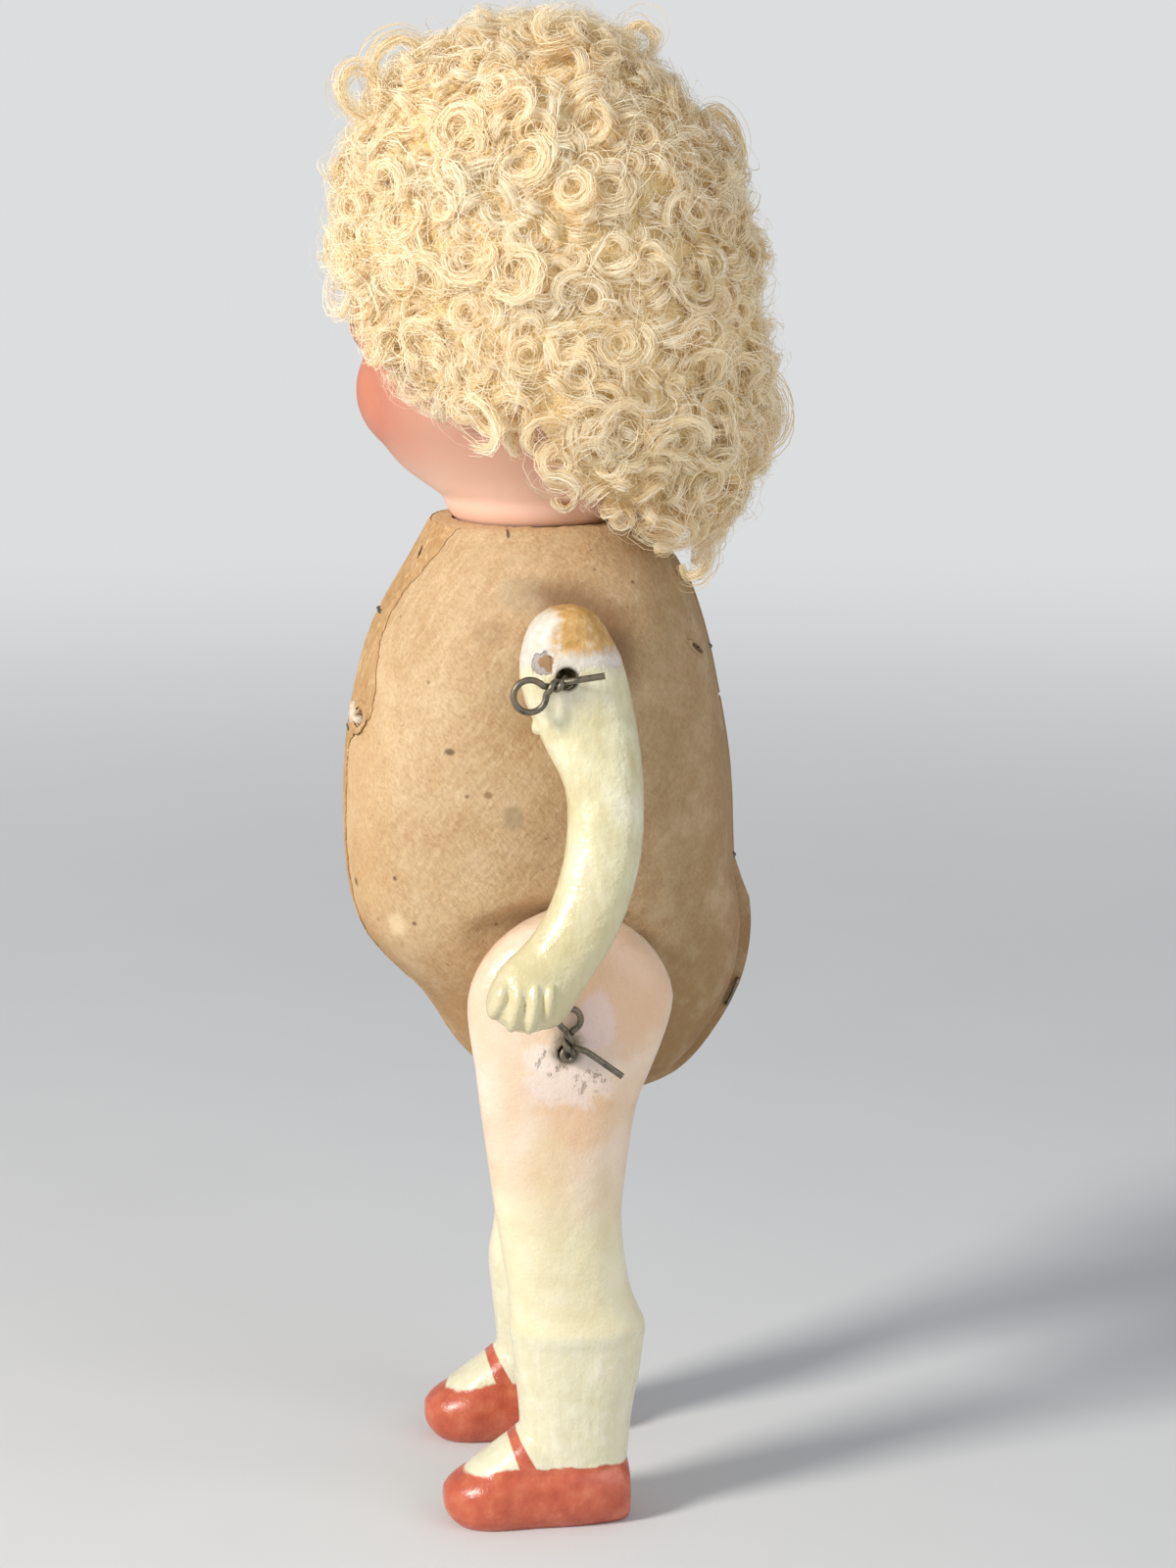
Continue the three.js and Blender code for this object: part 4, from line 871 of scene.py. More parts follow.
skull_rings = level_rings([(RIM + up, *rest) for up, *rest in between(SKULL, 2)])
skull = ring_body("head_bisque", skull_rings, 64, 2.15)
dome = [(RIM + NECK_LIFT - NECK_DOME * math.sin(a), NECK_RADIUS * math.cos(a))
    for a in np.radians([84, 70, 55, 40, 25, 10, 0])]
neck_rings = [((0, neck.y / MM, z), r, r, 0.0) for z, r in [*dome, (RIM + 8, NECK_RADIUS)]]
forms = [skull, ring_body("neck", neck_rings, 48)]
for side in (1, -1):
    forms.append(egg("cheek", on_head(7.6 * side, -11.6, 16.1), (9, 9, 8.6)))
forms.append(egg("chin", on_head(0, -17.2, 10.1), (5, 4.4, 3.6)))
head = weld(forms, 0.55, 22)
forms = [head] + [egg("lid", on_head(EYE_SIDE * side, EYE_BACK + 0.2, EYE_UP), (6.5, 6.2, 5.8))
    for side in (1, -1)]
forms += [
    egg("nose", on_head(0, -21, 22.1), (2.3, 2.5, 2.0)),
    egg("nose_bridge", on_head(0, -19.9, 25), (1.5, 1.9, 4.2)),
    egg("upper_lip", on_head(0, -20.6, 16.2), (3.6, 1.6, 1.1)),
    egg("lower_lip", on_head(0, -20.3, 14.2), (2.7, 1.6, 1.15)),
]
head = weld(forms, 0.46, 4)
print("head form:", len(head.data.polygons), "faces")

# %% Eye openings
for side in (1, -1):
    cut(head, egg("eye_opening", on_head(EYE_SIDE * side, -20.6, 24.9), (4.4, 4.6, 3.0)))
    cut(head, egg("eye_socket", on_head(EYE_SIDE * side, EYE_BACK, EYE_UP), (EYE_RADIUS + 0.06,) * 3))
head.data.transform(Matrix.Translation((0, -neck.y, 0)))
only(head)
head.rotation_euler.z = HEAD_TURN
head.location.y = neck.y
bpy.ops.object.transform_apply(location=True, rotation=True, scale=True)
smooth_under(35)
print("head with eye openings:", len(head.data.polygons), "faces")

# %% [markdown]
# ## Bisque finish
# Bisque is unglazed porcelain: its colour was painted on and fired in, so it is smooth with a soft
# satin shine. The skin is a pale peach. Blush covers the cheeks, the lips are red, each brow is a short
# brown arc and lashes fan out round the eyes. Every painted mark is a distance from a place in the
# head's own frame.

# %% Bisque finish
bisque = Finish("painted_bisque", (0, neck.y, neck.z), -HEAD_TURN)
skin = bisque.ramp(bisque.noise(0.12, 3), (0.3, "C8957D"), (0.7, "CD9C85"))
# painted light: the skin is paler from the jaw down the neck, to lift the shade under the jaw
skin = bisque.mix(bisque.rise(bisque.z, 12, 2), skin, "F0C5AF")
blush = bisque.math("MAXIMUM", bisque.spot(15.5, -17, 17, 3, 16), bisque.spot(-15.5, -17, 17, 3, 16))
mottle = bisque.noise(0.3, 4, shift=20) * 0.25 + 0.8
colour = bisque.mix(blush * mottle, skin, "C2775E")


def near_arc(finish, x, up, radius, tall):
    """How far a place is from an arc over (x, up), looking at the face from the front."""
    across = abs(finish.x) - x
    along = (finish.z - up) / tall
    reach = finish.hypot(across, along)
    return abs(reach - radius), along


front = bisque.rise(bisque.y, -9, -13)
brow_gap, brow_side = near_arc(bisque, 8.6, 26.5, 5.6, 1.0)
brow = bisque.rise(brow_gap, 0.55, 0.2) * bisque.rise(brow_side, 3.2, 4.2)
lash_gap, lash_side = near_arc(bisque, EYE_SIDE, 24.9, 5.1, 0.72)
across = abs(bisque.x) - EYE_SIDE
fan = bisque.math("SINE", bisque.math("ARCTAN2", lash_side, across) * 30)
lash = bisque.rise(lash_gap, 0.8, 0.5) * bisque.rise(fan, 0.2, 0.6)
marks = bisque.math("MAXIMUM", brow * 0.8, lash) * front
colour = bisque.mix(marks, colour, "6B4226")
bow = [bisque.spot(side * 1.3, -22, 16.0, 1.1, 1.9) for side in (1, -1)]
lips = bisque.math("MAXIMUM", *bow)
lips = bisque.math("MAXIMUM", lips, bisque.spot(0, -21.8, 14.5, 1.2, 2.0))
colour = bisque.mix(lips, colour, "C8443C")
bisque.set(Base_Color=colour, Roughness=bisque.noise(1.5, 3) * 0.12 + 0.34)
bisque.set(Specular_IOR_Level=0.45, Subsurface_Weight=0.12, Subsurface_Scale=0.0015)
bisque.shader.inputs["Subsurface Radius"].default_value = (1.0, 0.45, 0.3)
bisque.relief(bisque.noise(1.8, 3), 0.015)
dress(head, "head", bisque, "bisque", "head")

# %% [markdown]
# ## Glass eyes
# The eyes are blown glass balls set in plaster behind the openings. The iris was drawn in the hot
# glass, so it is painted here by the angle from the line of sight, with thin spokes in it, under a
# clear polished surface.

# %% Glass eyes
def glass_eye(name, side):
    spin = Matrix.Rotation(HEAD_TURN, 3, "Z")
    middle = spin @ Vector((EYE_SIDE * side, EYE_BACK, EYE_UP)) * MM + Vector((0, neck.y, neck.z))
    ball = egg(name + "_glass", middle / MM, (EYE_RADIUS,) * 3)
    finish_with(ball, "SUBSURF", levels=1, render_levels=1)
    bpy.ops.object.shade_smooth()
    glass = Finish(name + "_glass", middle, -HEAD_TURN)
    off = glass.hypot(glass.x, glass.z)
    spoke = glass.math("ARCTAN2", glass.x, glass.z)
    rays = glass.math("SINE", spoke * 34) * 0.5 + 0.5
    iris = glass.mix(rays * glass.rise(off, 0.8, 2.2), "4A2B14", "8A5A2C")
    iris = glass.mix(glass.rise(off, 2.4, 2.9), iris, "2B180C")
    white = glass.mix(glass.noise(0.4), "EDEAE2", "E2DED6")
    colour = glass.mix(glass.rise(off, 3.0, 2.85), white, iris)
    colour = glass.mix(glass.rise(off, 1.35, 1.2), colour, "080605")
    back = glass.rise(glass.y, 0, 1)
    glass.set(Base_Color=glass.mix(back, colour, white), Roughness=0.06, Coat_Weight=1.0,
        Coat_Roughness=0.02)
    dress(ball, "head", glass, "eye_glass", name)


glass_eye("left_eye", 1)
glass_eye("right_eye", -1)

# %% [markdown]
# ## Arms of painted composition
# Composition is pressed pulp under a coat of size and oil paint. Each arm is one curved stack of ovals
# with a mitten hand; four eggs for the curled fingers leave shallow grooves between them when they are
# welded on with a palm. The right arm is a mirrored copy.

# %% Arm form
ARM = [  # back, up, half depth, half thickness, from the shoulder wire
    (0.1, 7.9, 1.6, 2.2), (0.3, 6.2, 4.2, 4.1), (1, 0.5, 6.3, 5.1), (3.1, -6.5, 5.9, 4.9),
    (4.9, -13.5, 4.8, 4.6), (4.6, -21.5, 4.6, 4.4), (2.3, -29, 4.5, 4.1), (-1.2, -34.6, 4.5, 3.8),
    (-4.9, -38.7, 5.0, 3.9), (-7.0, -41.3, 3.0, 2.8),
]
ARM_INNER, HAND_INNER, ARMPIT, WRIST, ARM_TOP, ARM_HALF = 20.4, 28.6, -5.8, -39, 7.9, 5.1


def arm_middle(up, thick):
    share = min(max((up - ARMPIT) / (WRIST - ARMPIT), 0), 1)
    inner = ARM_INNER + (HAND_INNER - ARM_INNER) * share**0.85
    lift = min(max(up / ARM_TOP, 0), 1)
    return inner + thick + lift * lift * (3 - 2 * lift) * (ARM_HALF - thick)


arm_rows = between(ARM, 3)
arm_rings = []
for n, (back, up, deep, thick) in enumerate(arm_rows):
    ahead = arm_rows[min(n + 1, len(arm_rows) - 1)] - arm_rows[max(n - 1, 0)]
    place = (arm_middle(up, thick), back + shoulder.y / MM, up + shoulder.z / MM)
    arm_rings.append((place, thick, deep, math.atan2(ahead[0], -ahead[1])))
arm_forms = [ring_body("left_arm_painted", arm_rings, 40, 2.2)]
FINGERS = [  # back, up, reach, half length, lean
    (-8.6, -38.2, 35.9, 3.0, -18), (-6.7, -38.9, 36.8, 3.7, -10), (-4.7, -39.0, 37.1, 3.8, -7),
    (-2.8, -38.6, 36.8, 3.3, -7),
]
for back, up, reach, tall, lean in FINGERS:
    place = (reach - 3.0, back + shoulder.y / MM, up + shoulder.z / MM)
    arm_forms.append(egg("finger", place, (3.0, 1.3, tall), math.radians(lean)))
arm_forms.append(egg("palm", (32.7, -5.7 + shoulder.y / MM, -39.9 + shoulder.z / MM), (3.6, 4.1, 2.9),
    math.radians(-15)))
arm_forms.append(egg("paint_drip", (26.0, -3.1 + shoulder.y / MM, -6.6 + shoulder.z / MM), (0.9, 0.7, 1.0)))
left_arm = weld(arm_forms, 0.32, 2)
left_arm.name = "left_arm_painted"
cut(left_arm, side_bar("wire_hole", (26, shoulder.y / MM, shoulder.z / MM), ARM_HOLE, 30, 24))
smooth_under(40)
print("left arm:", len(left_arm.data.polygons), "faces")

# %% Arm finish
paint = Finish("arm_paint", (0, shoulder.y, shoulder.z))
tone = paint.noise(0.16, 4)
colour = paint.ramp(tone, (0.3, "D0C79E"), (0.5, "DED7B2"), (0.72, "EAE5CE"))
streak = paint.noise(0.9, 4, 0.6, (1, 1, 0.3))
colour = paint.mix(paint.rise(streak, 0.62, 0.4), paint.mix(0.22, colour, "B59C62"), colour)
olive = paint.rise(paint.z, -18, -36) * 0.55
colour = paint.mix(olive, colour, "C6B886")
ragged = paint.noise(0.35, 5, 0.65, shift=11) * 7.0 - 3.5
bare = paint.rise(paint.z + ragged, 0.0, 1.8)
colour = paint.mix(bare, colour, paint.ramp(paint.noise(0.9, 4), (0.3, "CBBFAE"), (0.65, "DBD4C8")))
corner_gap = paint.math("MINIMUM", paint.y + 1.2, paint.z - 2.9)
under = paint.rise(corner_gap + ragged * 0.6, -0.7, 0.8)
colour = paint.mix(under, colour, paint.ramp(paint.noise(0.8, 4, shift=4), (0.3, "B5843F"),
    (0.55, "C99F5F"), (0.75, "DDC294")))
fray = paint.noise(0.8, 4, 0.6, shift=31) * 3.4 - 1.7
flake = paint.spot(30.4, -3.6, 1.9, 0.2, 3.4) + fray * 0.3
colour = paint.mix(paint.rise(flake, 0.44, 0.5), colour, "A79C96")
core = paint.spot(30.4, -2.7, 2.0, 0.1, 2.4) + fray * 0.3
colour = paint.mix(paint.rise(core, 0.45, 0.55), colour, "94704A")
# painted shade: the mouth of the wire hole is painted near black
colour = paint.mix(paint.spot(ARM_OUTER, 0, 0, 1.25, 1.8), colour, "3A2F24")
paint.set(Base_Color=colour, Roughness=bare * 0.42 + 0.24)
paint.set(Coat_Weight=0.3, Coat_Roughness=0.2)
paint.relief(paint.noise(0.45, 4, 0.6), 0.34)
paint.relief(paint.noise(2.2, 4), 0.05)
paint.relief(1.0 - bare, 0.14)
paint.relief(1.0 - paint.rise(flake, 0.4, 0.52), 0.3)
dress(left_arm, "left_arm", paint, "arm_composition", "left_arm")


def mirrored(piece, name):
    made = copied(piece, name)
    made.parent = None
    made.data.transform(Matrix.Diagonal((-1, 1, 1, 1)))
    made.data.flip_normals()
    for key in [key for key in made.keys() if key.startswith("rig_")]:
        del made[key]
    return made


dress(mirrored(left_arm, "right_arm_painted"), "right_arm", paint, "arm_composition", "right_arm")

# %% [markdown]
# ## Legs with moulded socks and painted shoes
# A leg is a flat round thigh, a straight calf, a sock with a raised top edge and a shoe with a flat
# sole. Three stacks of ovals, down the leg, along the foot and over the instep, are welded together,
# and the sole is cut flat at the floor. The right leg is a mirrored copy with its shin set back a
# little.

# %% Leg form
LEG = [  # height, front, back, half width, middle, from the hip wire
    (81.41, -0.89, 3.49, 3.47, 18.77), (80.13, -4.9, 7.3, 4.39, 19.69), (77.75, -8.3, 10.5, 4.9, 20.2),
    (74.52, -10.7, 12.8, 5.07, 20.37), (70.75, -11.9, 13.9, 5.1, 20.4), (66.5, -11.7, 13.0, 5.1, 20.4),
    (62, -11.0, 11.3, 5.1, 20.4), (57, -10.4, 9.5, 5.25, 19.6), (52, -9.7, 8.7, 5.4, 18.9),
    (47, -9.0, 8.2, 5.55, 18.1), (42, -8.3, 7.8, 5.7, 17.4), (36.5, -7.4, 8.2, 5.65, 16.8),
    (31.5, -6.6, 9.1, 5.6, 16.2), (29, -6.4, 10.0, 5.75, 15.8), (27.4, -6.4, 10.7, 5.95, 15.7),
    (26.2, -6.4, 11.1, 6.1, 15.6), (25, -6.3, 11.1, 6.0, 15.5), (24, -6.1, 10.9, 5.85, 15.4),
    (19, -5.6, 10.3, 5.7, 15.3), (14, -5.1, 9.4, 5.3, 15.2), (4, -5, 8.5, 4.6, 15.2),
]
FOOT = [  # back, half width, top, bottom
    (9.1, 2.6, 6.6, 0.6), (8.2, 4.4, 8.4, -0.5), (3, 5.6, 9.8, -1.1), (-4, 5.7, 9.2, -1.2),
    (-9, 5.9, 8.2, -1.2), (-12, 5.0, 7.0, -0.7), (-14, 3.3, 5.8, 0.6), (-15, 1.6, 4.6, 2.2),
]
INSTEP = [(0, 4.8, 14.0, 2), (-4, 4.8, 13.2, 2), (-6.5, 4.7, 11.4, 2), (-9, 4.5, 9.5, 2),
    (-11.4, 3.8, 7.7, 2), (-12.6, 2.4, 6.6, 2)]
leg_rings = [((x, (f + b) / 2 + hip.y / MM, z), half, (b - f) / 2, 0.0)
    for z, f, b, half, x in between(LEG, 2)]
forms = [ring_body("left_leg_painted", leg_rings, 48, 2.3)]
for name, rows, square in (("foot", FOOT, 2.4), ("instep", INSTEP, 2.2)):
    rings = [((15.2, back + hip.y / MM, (top + low) / 2), half, (top - low) / 2, math.pi / 2)
        for back, half, top, low in between(rows, 4)]
    forms.append(ring_body(name, rings, 40, square))
left_leg = weld(forms, 0.44, 4)
left_leg.name = "left_leg_painted"
with editing(left_leg):
    bpy.ops.mesh.bisect(plane_co=(0, 0, 0), plane_no=(0, 0, 1), clear_inner=True, use_fill=True)
cut(left_leg, side_bar("wire_hole", (20, hip.y / MM, hip.z / MM), LEG_HOLE, 30, 24))
smooth_under(40)
print("left leg:", len(left_leg.data.polygons), "faces")

# %% Leg finish
paint = Finish("leg_paint", (0, hip.y, 0))
flesh = paint.ramp(paint.noise(0.13, 4), (0.3, "E0C1A2"), (0.5, "E7CEB3"), (0.72, "EBD9C4"))
cream = paint.ramp(paint.noise(0.2, 4, shift=5), (0.3, "E0D3AA"), (0.55, "E8DEBA"), (0.75, "ECE5C9"))
low = paint.rise(paint.noise(0.12, 3) * 16.0 + paint.z, 60, 46)
colour = paint.mix(low, flesh, cream)
side = paint.rise(abs(paint.x), 20.5, 22.5)
PATCHES = [  # back, height, half width, half height, fray, softness, tint, share
    (7.0, 72.0, 6.0, 8.0, 0.9, 0.35, "DFB088", 0.6), (1.6, 56.6, 4.6, 4.6, 0.9, 0.4, "DFB385", 0.6),
    (-2.2, 50.0, 2.6, 4.6, 0.8, 0.5, "E0C694", 0.55), (3.7, 68.6, 2.3, 4.0, 0.9, 0.2, "E6CDC5", 0.75),
    (0.4, 62.0, 5.4, 4.2, 1.4, 0.25, "EAD7CB", 0.75), (-3.4, 64.6, 2.2, 1.6, 1.2, 0.3, "ECE0D4", 0.6),
    (0.0, 65.6, 2.0, 2.3, 1.1, 0.35, "8C7A62", 0.8),
]
for back, height, wide, tall, fray, soft, tint, share in PATCHES:
    patch = paint.blot(back, height, wide, tall, fray, soft) * side * share
    colour = paint.mix(patch, colour, tint)
near_hole = paint.math("MAXIMUM", paint.blot(3.0, 60.8, 2.4, 2.0), paint.blot(-1.6, 63.8, 2.4, 1.8))
worn = paint.rise(paint.noise(1.3, 5, 0.7, (1, 1, 0.6)), 0.54, 0.66)
chips = near_hole * worn * side
colour = paint.mix(chips * 0.6, colour, "B49A82")
# painted shade: the mouth of the wire hole is painted near black
colour = paint.mix(paint.blot(0, 65, 1.3, 1.3, 0.3) * side, colour, "3A2F24")
sock = paint.rise(paint.z, 27.0, 25.8)
wool = paint.ramp(paint.noise(0.5, 4), (0.3, "DCD5B2"), (0.7, "E7E2C8"))
brushed = paint.noise(0.8, 4, 0.6, (1, 1, 0.12), 17)
wool = paint.mix(paint.rise(brushed, 0.62, 0.42), wool, paint.mix(0.16, wool, "C0B48C"))
colour = paint.mix(sock, colour, wool)
edge_waver = paint.noise(0.3, 3) * 1.3 - 0.65
height = paint.rise(paint.y, -5, -12) * 1.3 + paint.z + edge_waver
shoe = paint.rise(height, 8.5, 8.1)
strap_line = paint.y * 0.906 + paint.z * 0.424
strap_gap = abs(strap_line + 0.5) + paint.z * 0.1 + edge_waver * 0.25
strap = paint.rise(strap_gap, 1.95, 1.7) * paint.rise(paint.y, -2.4, -3.0)
red = paint.ramp(paint.noise(0.4, 4, shift=9), (0.28, "AE4C34"), (0.5, "BF5C40"), (0.75, "D07858"))
colour = paint.mix(paint.math("MAXIMUM", shoe, strap), colour, red)
paint.set(Base_Color=colour, Roughness=paint.noise(0.8, 4) * 0.25 + 0.18)
paint.set(Coat_Weight=0.2, Coat_Roughness=0.24)
around = paint.math("ARCTAN2", abs(paint.x) - 15.3, paint.y - 2.4)
ribs = paint.math("SINE", paint.noise(0.2, 2) * 4.0 + around * 26)
paint.relief(ribs * paint.rise(paint.z, 25.2, 22.0) * paint.rise(paint.z, 8.0, 13.0), 0.008)
paint.relief(brushed * sock, 0.04)
paint.relief(paint.noise(0.5, 4), 0.18)
paint.relief(paint.noise(2.4, 4), 0.05)
paint.relief(1.0 - chips, 0.15)
dress(left_leg, "left_leg", paint, "leg_composition", "left_leg")
RIGHT_LEG_BACK = 3.4  # how much less the right shin stands forward
right_leg = mirrored(left_leg, "right_leg_painted")
for corner in right_leg.data.vertices:
    _, y, z = corner.co / MM
    share = np.interp(z, [24, 36, 54, 67], [0, 1, 1, 0]) * np.clip(-(y - hip.y / MM) / 9, 0, 1)
    corner.co.y += RIGHT_LEG_BACK * share * MM
dress(right_leg, "right_leg", paint, "leg_composition", "right_leg")

# %% [markdown]
# ## Wig of curled mohair
# The wig is goat hair, curled tight and sewn to a gauze cap. A curl is a lock of fine hairs that wind
# round one axis together. No modelling tool draws thousands of hairs one by one, so the hairs are
# computed here as thin ribbons and handed to Blender as meshes. The CAD's wefts say where hair grows
# and how far it stands out.

# %% Where hair grows
HAIR_NODES = ["hair_crown", "hair_fringe", "hair_left", "hair_right", "hair_back"]
SEED = 11
chance = np.random.default_rng(SEED)
neck_mm = np.array(neck) / MM
head_middle = neck_mm + [0, 2, 30]
EDGE_ANGLES = [-90, -60, -42, -27, -14, 22, 34, 50, 90]  # from the face round to the nape, degrees
EDGE_HEIGHTS = [32, 28.5, 22, 17.3, 13.6, 12.0, 3.5, -0.5, -5]  # lowest hair there, over the rim


def hair_edge(places):
    """Height of the lowest hair on the same meridian of the head."""
    c, s = math.cos(HEAD_TURN), math.sin(HEAD_TURN)
    x, y = places[:, 0] - neck_mm[0], places[:, 1] - neck_mm[1]
    angle = np.degrees(np.arctan2(c * y - s * x, np.abs(c * x + s * y)))
    return neck_mm[2] + np.interp(angle, EDGE_ANGLES, EDGE_HEIGHTS)


def fitted(places):
    """Places drawn in from the wefts, so that the curls stand out to the outline of the wig."""
    gap = places - head_middle
    share = np.where(gap > 0, [0.935, 0.875, 1.015], [0.935, 0.935, 0.965])
    share[..., 1] *= np.where(gap[..., 1] > 0, np.interp(gap[..., 2], [15, 23], [1, 0.82]), 1)
    return head_middle + gap * share


def weft_surface(node, count):
    """Places and outward directions spread evenly over the outer side of a weft, in millimetres."""
    mesh = frame["nodes"][node].data
    corners = np.array([v.co for v in mesh.vertices]) / MM
    mesh.calc_loop_triangles()
    a, b, c = corners[np.array([t.vertices for t in mesh.loop_triangles])].transpose(1, 0, 2)
    normal = np.cross(b - a, c - a)
    area = np.linalg.norm(normal, axis=1)
    normal /= np.maximum(area, 1e-9)[:, None]
    radial = (a + b + c) / 3 - head_middle
    radial /= np.linalg.norm(radial, axis=1, keepdims=True)
    weight = np.where((normal * radial).sum(1) > 0.3, area, 0)
    pick = chance.choice(len(area), count, p=weight / weight.sum())
    u, v = np.sort(chance.random((2, count, 1)), axis=0)
    places = a[pick] * u + b[pick] * (v - u) + c[pick] * (1 - v)
    places = fitted(places)
    outward = normal[pick] + radial[pick]
    outward /= np.linalg.norm(outward, axis=1, keepdims=True)
    keep = places[:, 2] > hair_edge(places) + 2.2
    return places[keep], outward[keep]


def spaced(places, gap):
    """Numbers of places that keep a distance from each other."""
    tree = KDTree(len(places))
    for n, place in enumerate(places):
        tree.insert(place, n)
    tree.balance()
    taken, kept = set(), []
    for n, place in enumerate(places):
        if n not in taken:
            kept.append(n)
            taken.update(index for _, index, _ in tree.find_range(place, gap))
    return kept


print("hair grows on", len(HAIR_NODES), "wefts")

# %% Under mass
copies = []
for node in HAIR_NODES:
    copy = bpy.data.objects.new("hair_under_mass", frame["nodes"][node].data.copy())
    bpy.context.scene.collection.objects.link(copy)
    with editing(copy):
        bpy.ops.mesh.remove_doubles(threshold=0.001 * MM)
    copies.append(copy)
under_mass = weld(copies, 1.0, 8)
corners = np.array([v.co for v in under_mass.data.vertices]) / MM
corners = head_middle + (fitted(corners) - head_middle) * 0.94
corners[:, 2] = np.maximum(corners[:, 2], hair_edge(corners) + 5.5)
under_mass.data.vertices.foreach_set("co", (corners * MM).ravel())
print("under mass:", len(under_mass.data.polygons), "faces")

# %% [markdown]
# ## One lock of hair
# A lock is a coil: an axis, a radius, a pitch and a number of turns. When the axis points out of the
# head the coil lies flat like a snail's shell, and when it lies along the head the coil is a corkscrew.
# Each hair keeps its own place in the lock, wavers a little, and ends at its own length.

# %% Lock helper
POINTS = 13
steps = np.linspace(0, 1, POINTS)


def unit(vectors):
    return vectors / np.maximum(np.linalg.norm(vectors, axis=-1, keepdims=True), 1e-9)


def lock(centre, axis, out, radius, pitch, turns, start, hairs, thick, wide, closing=0.35):
    """Ribbon corners of every hair in a lock: hairs x points x 2 x 3, and a tone for each corner."""
    axis = unit(np.array(axis, float))
    side = unit(np.cross(axis, out + 0.01))
    ahead = np.cross(axis, side)
    t = steps[None, :] * chance.uniform(0.82, 1.0, (hairs, 1))
    angle = start + turns * 2 * math.pi * t + chance.normal(0, 0.22, (hairs, 1))
    bundle = thick * (0.45 + 0.55 * np.sin(math.pi * np.clip(0.15 + 0.75 * t, 0, 1)))
    stray = np.where(chance.random((hairs, 1)) < 0.14, 2.2, 0.9)
    up, away = chance.normal(0, 0.5, (2, hairs, 1)) * bundle * stray
    waver = 0.2 * np.sin(chance.uniform(4, 11, (hairs, 1)) * t + chance.uniform(0, 6.3, (hairs, 1)))
    ring = radius * (1 - closing * t) + away + waver
    spoke = np.cos(angle)[..., None] * ahead + np.sin(angle)[..., None] * side
    lift = (pitch * (turns * t - abs(turns) / 2 * np.sign(turns)) + up + waver)[..., None]
    line = centre + spoke * ring[..., None] + axis * lift
    along = unit(np.gradient(line, axis=1))
    across = unit(np.cross(along, out + chance.normal(0, 0.35, (hairs, 1, 3))))
    taper = wide * np.sin(math.pi * (0.1 + 0.84 * steps)) ** 0.5 * chance.uniform(0.6, 1.25, (hairs, 1))
    ribbon = np.stack([line - across * taper[..., None] / 2, line + across * taper[..., None] / 2], 2)
    # painted light and shade: a hair is paler where it stands out from the head and warmer in the depth of
    # the curl
    height = ((line - centre) @ out) / (radius + thick)
    tone = np.clip(0.55 + 0.3 * height + chance.normal(0, 0.12, (hairs, 1)), 0, 1)
    return ribbon, np.repeat(tone[..., None], 2, 2)


def hair_piece(name, locks, finish, *nodes):
    """One mesh of ribbons, with a tone for the finish and a map cell of its own for each hair."""
    ribbons = np.concatenate([ribbon for ribbon, _ in locks])
    tones = np.concatenate([tone for _, tone in locks])
    count, points = ribbons.shape[:2]
    first = np.arange(count)[:, None] * points * 2 + np.arange(points - 1) * 2
    faces = np.stack([first, first + 1, first + 3, first + 2], -1).reshape(-1, 4)
    mesh = bpy.data.meshes.new(name)
    mesh.from_pydata((ribbons.reshape(-1, 3) * MM).tolist(), [], faces.tolist())
    tone = mesh.attributes.new("tone", "FLOAT", "POINT")
    tone.data.foreach_set("value", tones.astype(np.float32).ravel())
    columns = math.ceil(math.sqrt(count * 5))
    rows = math.ceil(count / columns)
    hair, corner = faces // (points * 2), faces % (points * 2)
    u = (hair % columns + 0.15 + 0.7 * (corner % 2)) / columns
    v = (hair // columns + 0.06 + 0.88 * (corner // 2) / (points - 1)) / rows
    cells = mesh.uv_layers.new(name="OFBake")
    cells.data.foreach_set("uv", np.stack([u, v], -1).astype(np.float32).ravel())
    piece = bpy.data.objects.new(name, mesh)
    bpy.context.scene.collection.objects.link(piece)
    only(piece)
    bpy.ops.object.shade_smooth()
    dress(piece, "head", finish, "mohair", *nodes)


print("points on a hair:", POINTS)

# %% [markdown]
# ## Mohair finish
# Mohair is pale and shines like silk. The tone that each hair carries sets its colour between cream on
# the outside of a curl and warmer in its depth: this is painted light and shade, for the light that
# reaches the depth only through other hair.

# %% Mohair finish
def mohair(name, stops, gloss):
    hair = Finish(name)
    tone = hair.node("ShaderNodeAttribute")
    tone.attribute_name = "tone"
    cloud = hair.noise(0.11, 3) * 0.5 - 0.25
    colour = hair.ramp(tone.outputs["Fac"] + cloud, *stops)
    hair.set(Base_Color=colour, Roughness=hair.noise(1.5, 2) * 0.2 + gloss)
    hair.set(Specular_IOR_Level=0.5, Sheen_Weight=0.3, Sheen_Roughness=0.5)
    thin = hair.node("ShaderNodeBsdfTranslucent", Color=colour)
    hair.blend(0.38, thin.outputs["BSDF"])
    return hair


curl_hair = mohair("mohair_curls", [(0.05, "F2D096"), (0.35, "FBE5B4"), (0.62, "FFF1D2"),
    (0.92, "FFF9E6")], 0.38)
deep_hair = Finish("mohair_depth")
depth = deep_hair.noise(0.6, 5, 0.65)
deep_hair.set(Base_Color=deep_hair.ramp(depth, (0.3, "F0CB88"), (0.55, "F9DFA8"), (0.75, "FDEDC8")),
    Roughness=0.6)
deep_hair.relief(deep_hair.noise(0.9, 4, 0.7), 1.2)
dress(under_mass, "head", deep_hair, "mohair", *HAIR_NODES)

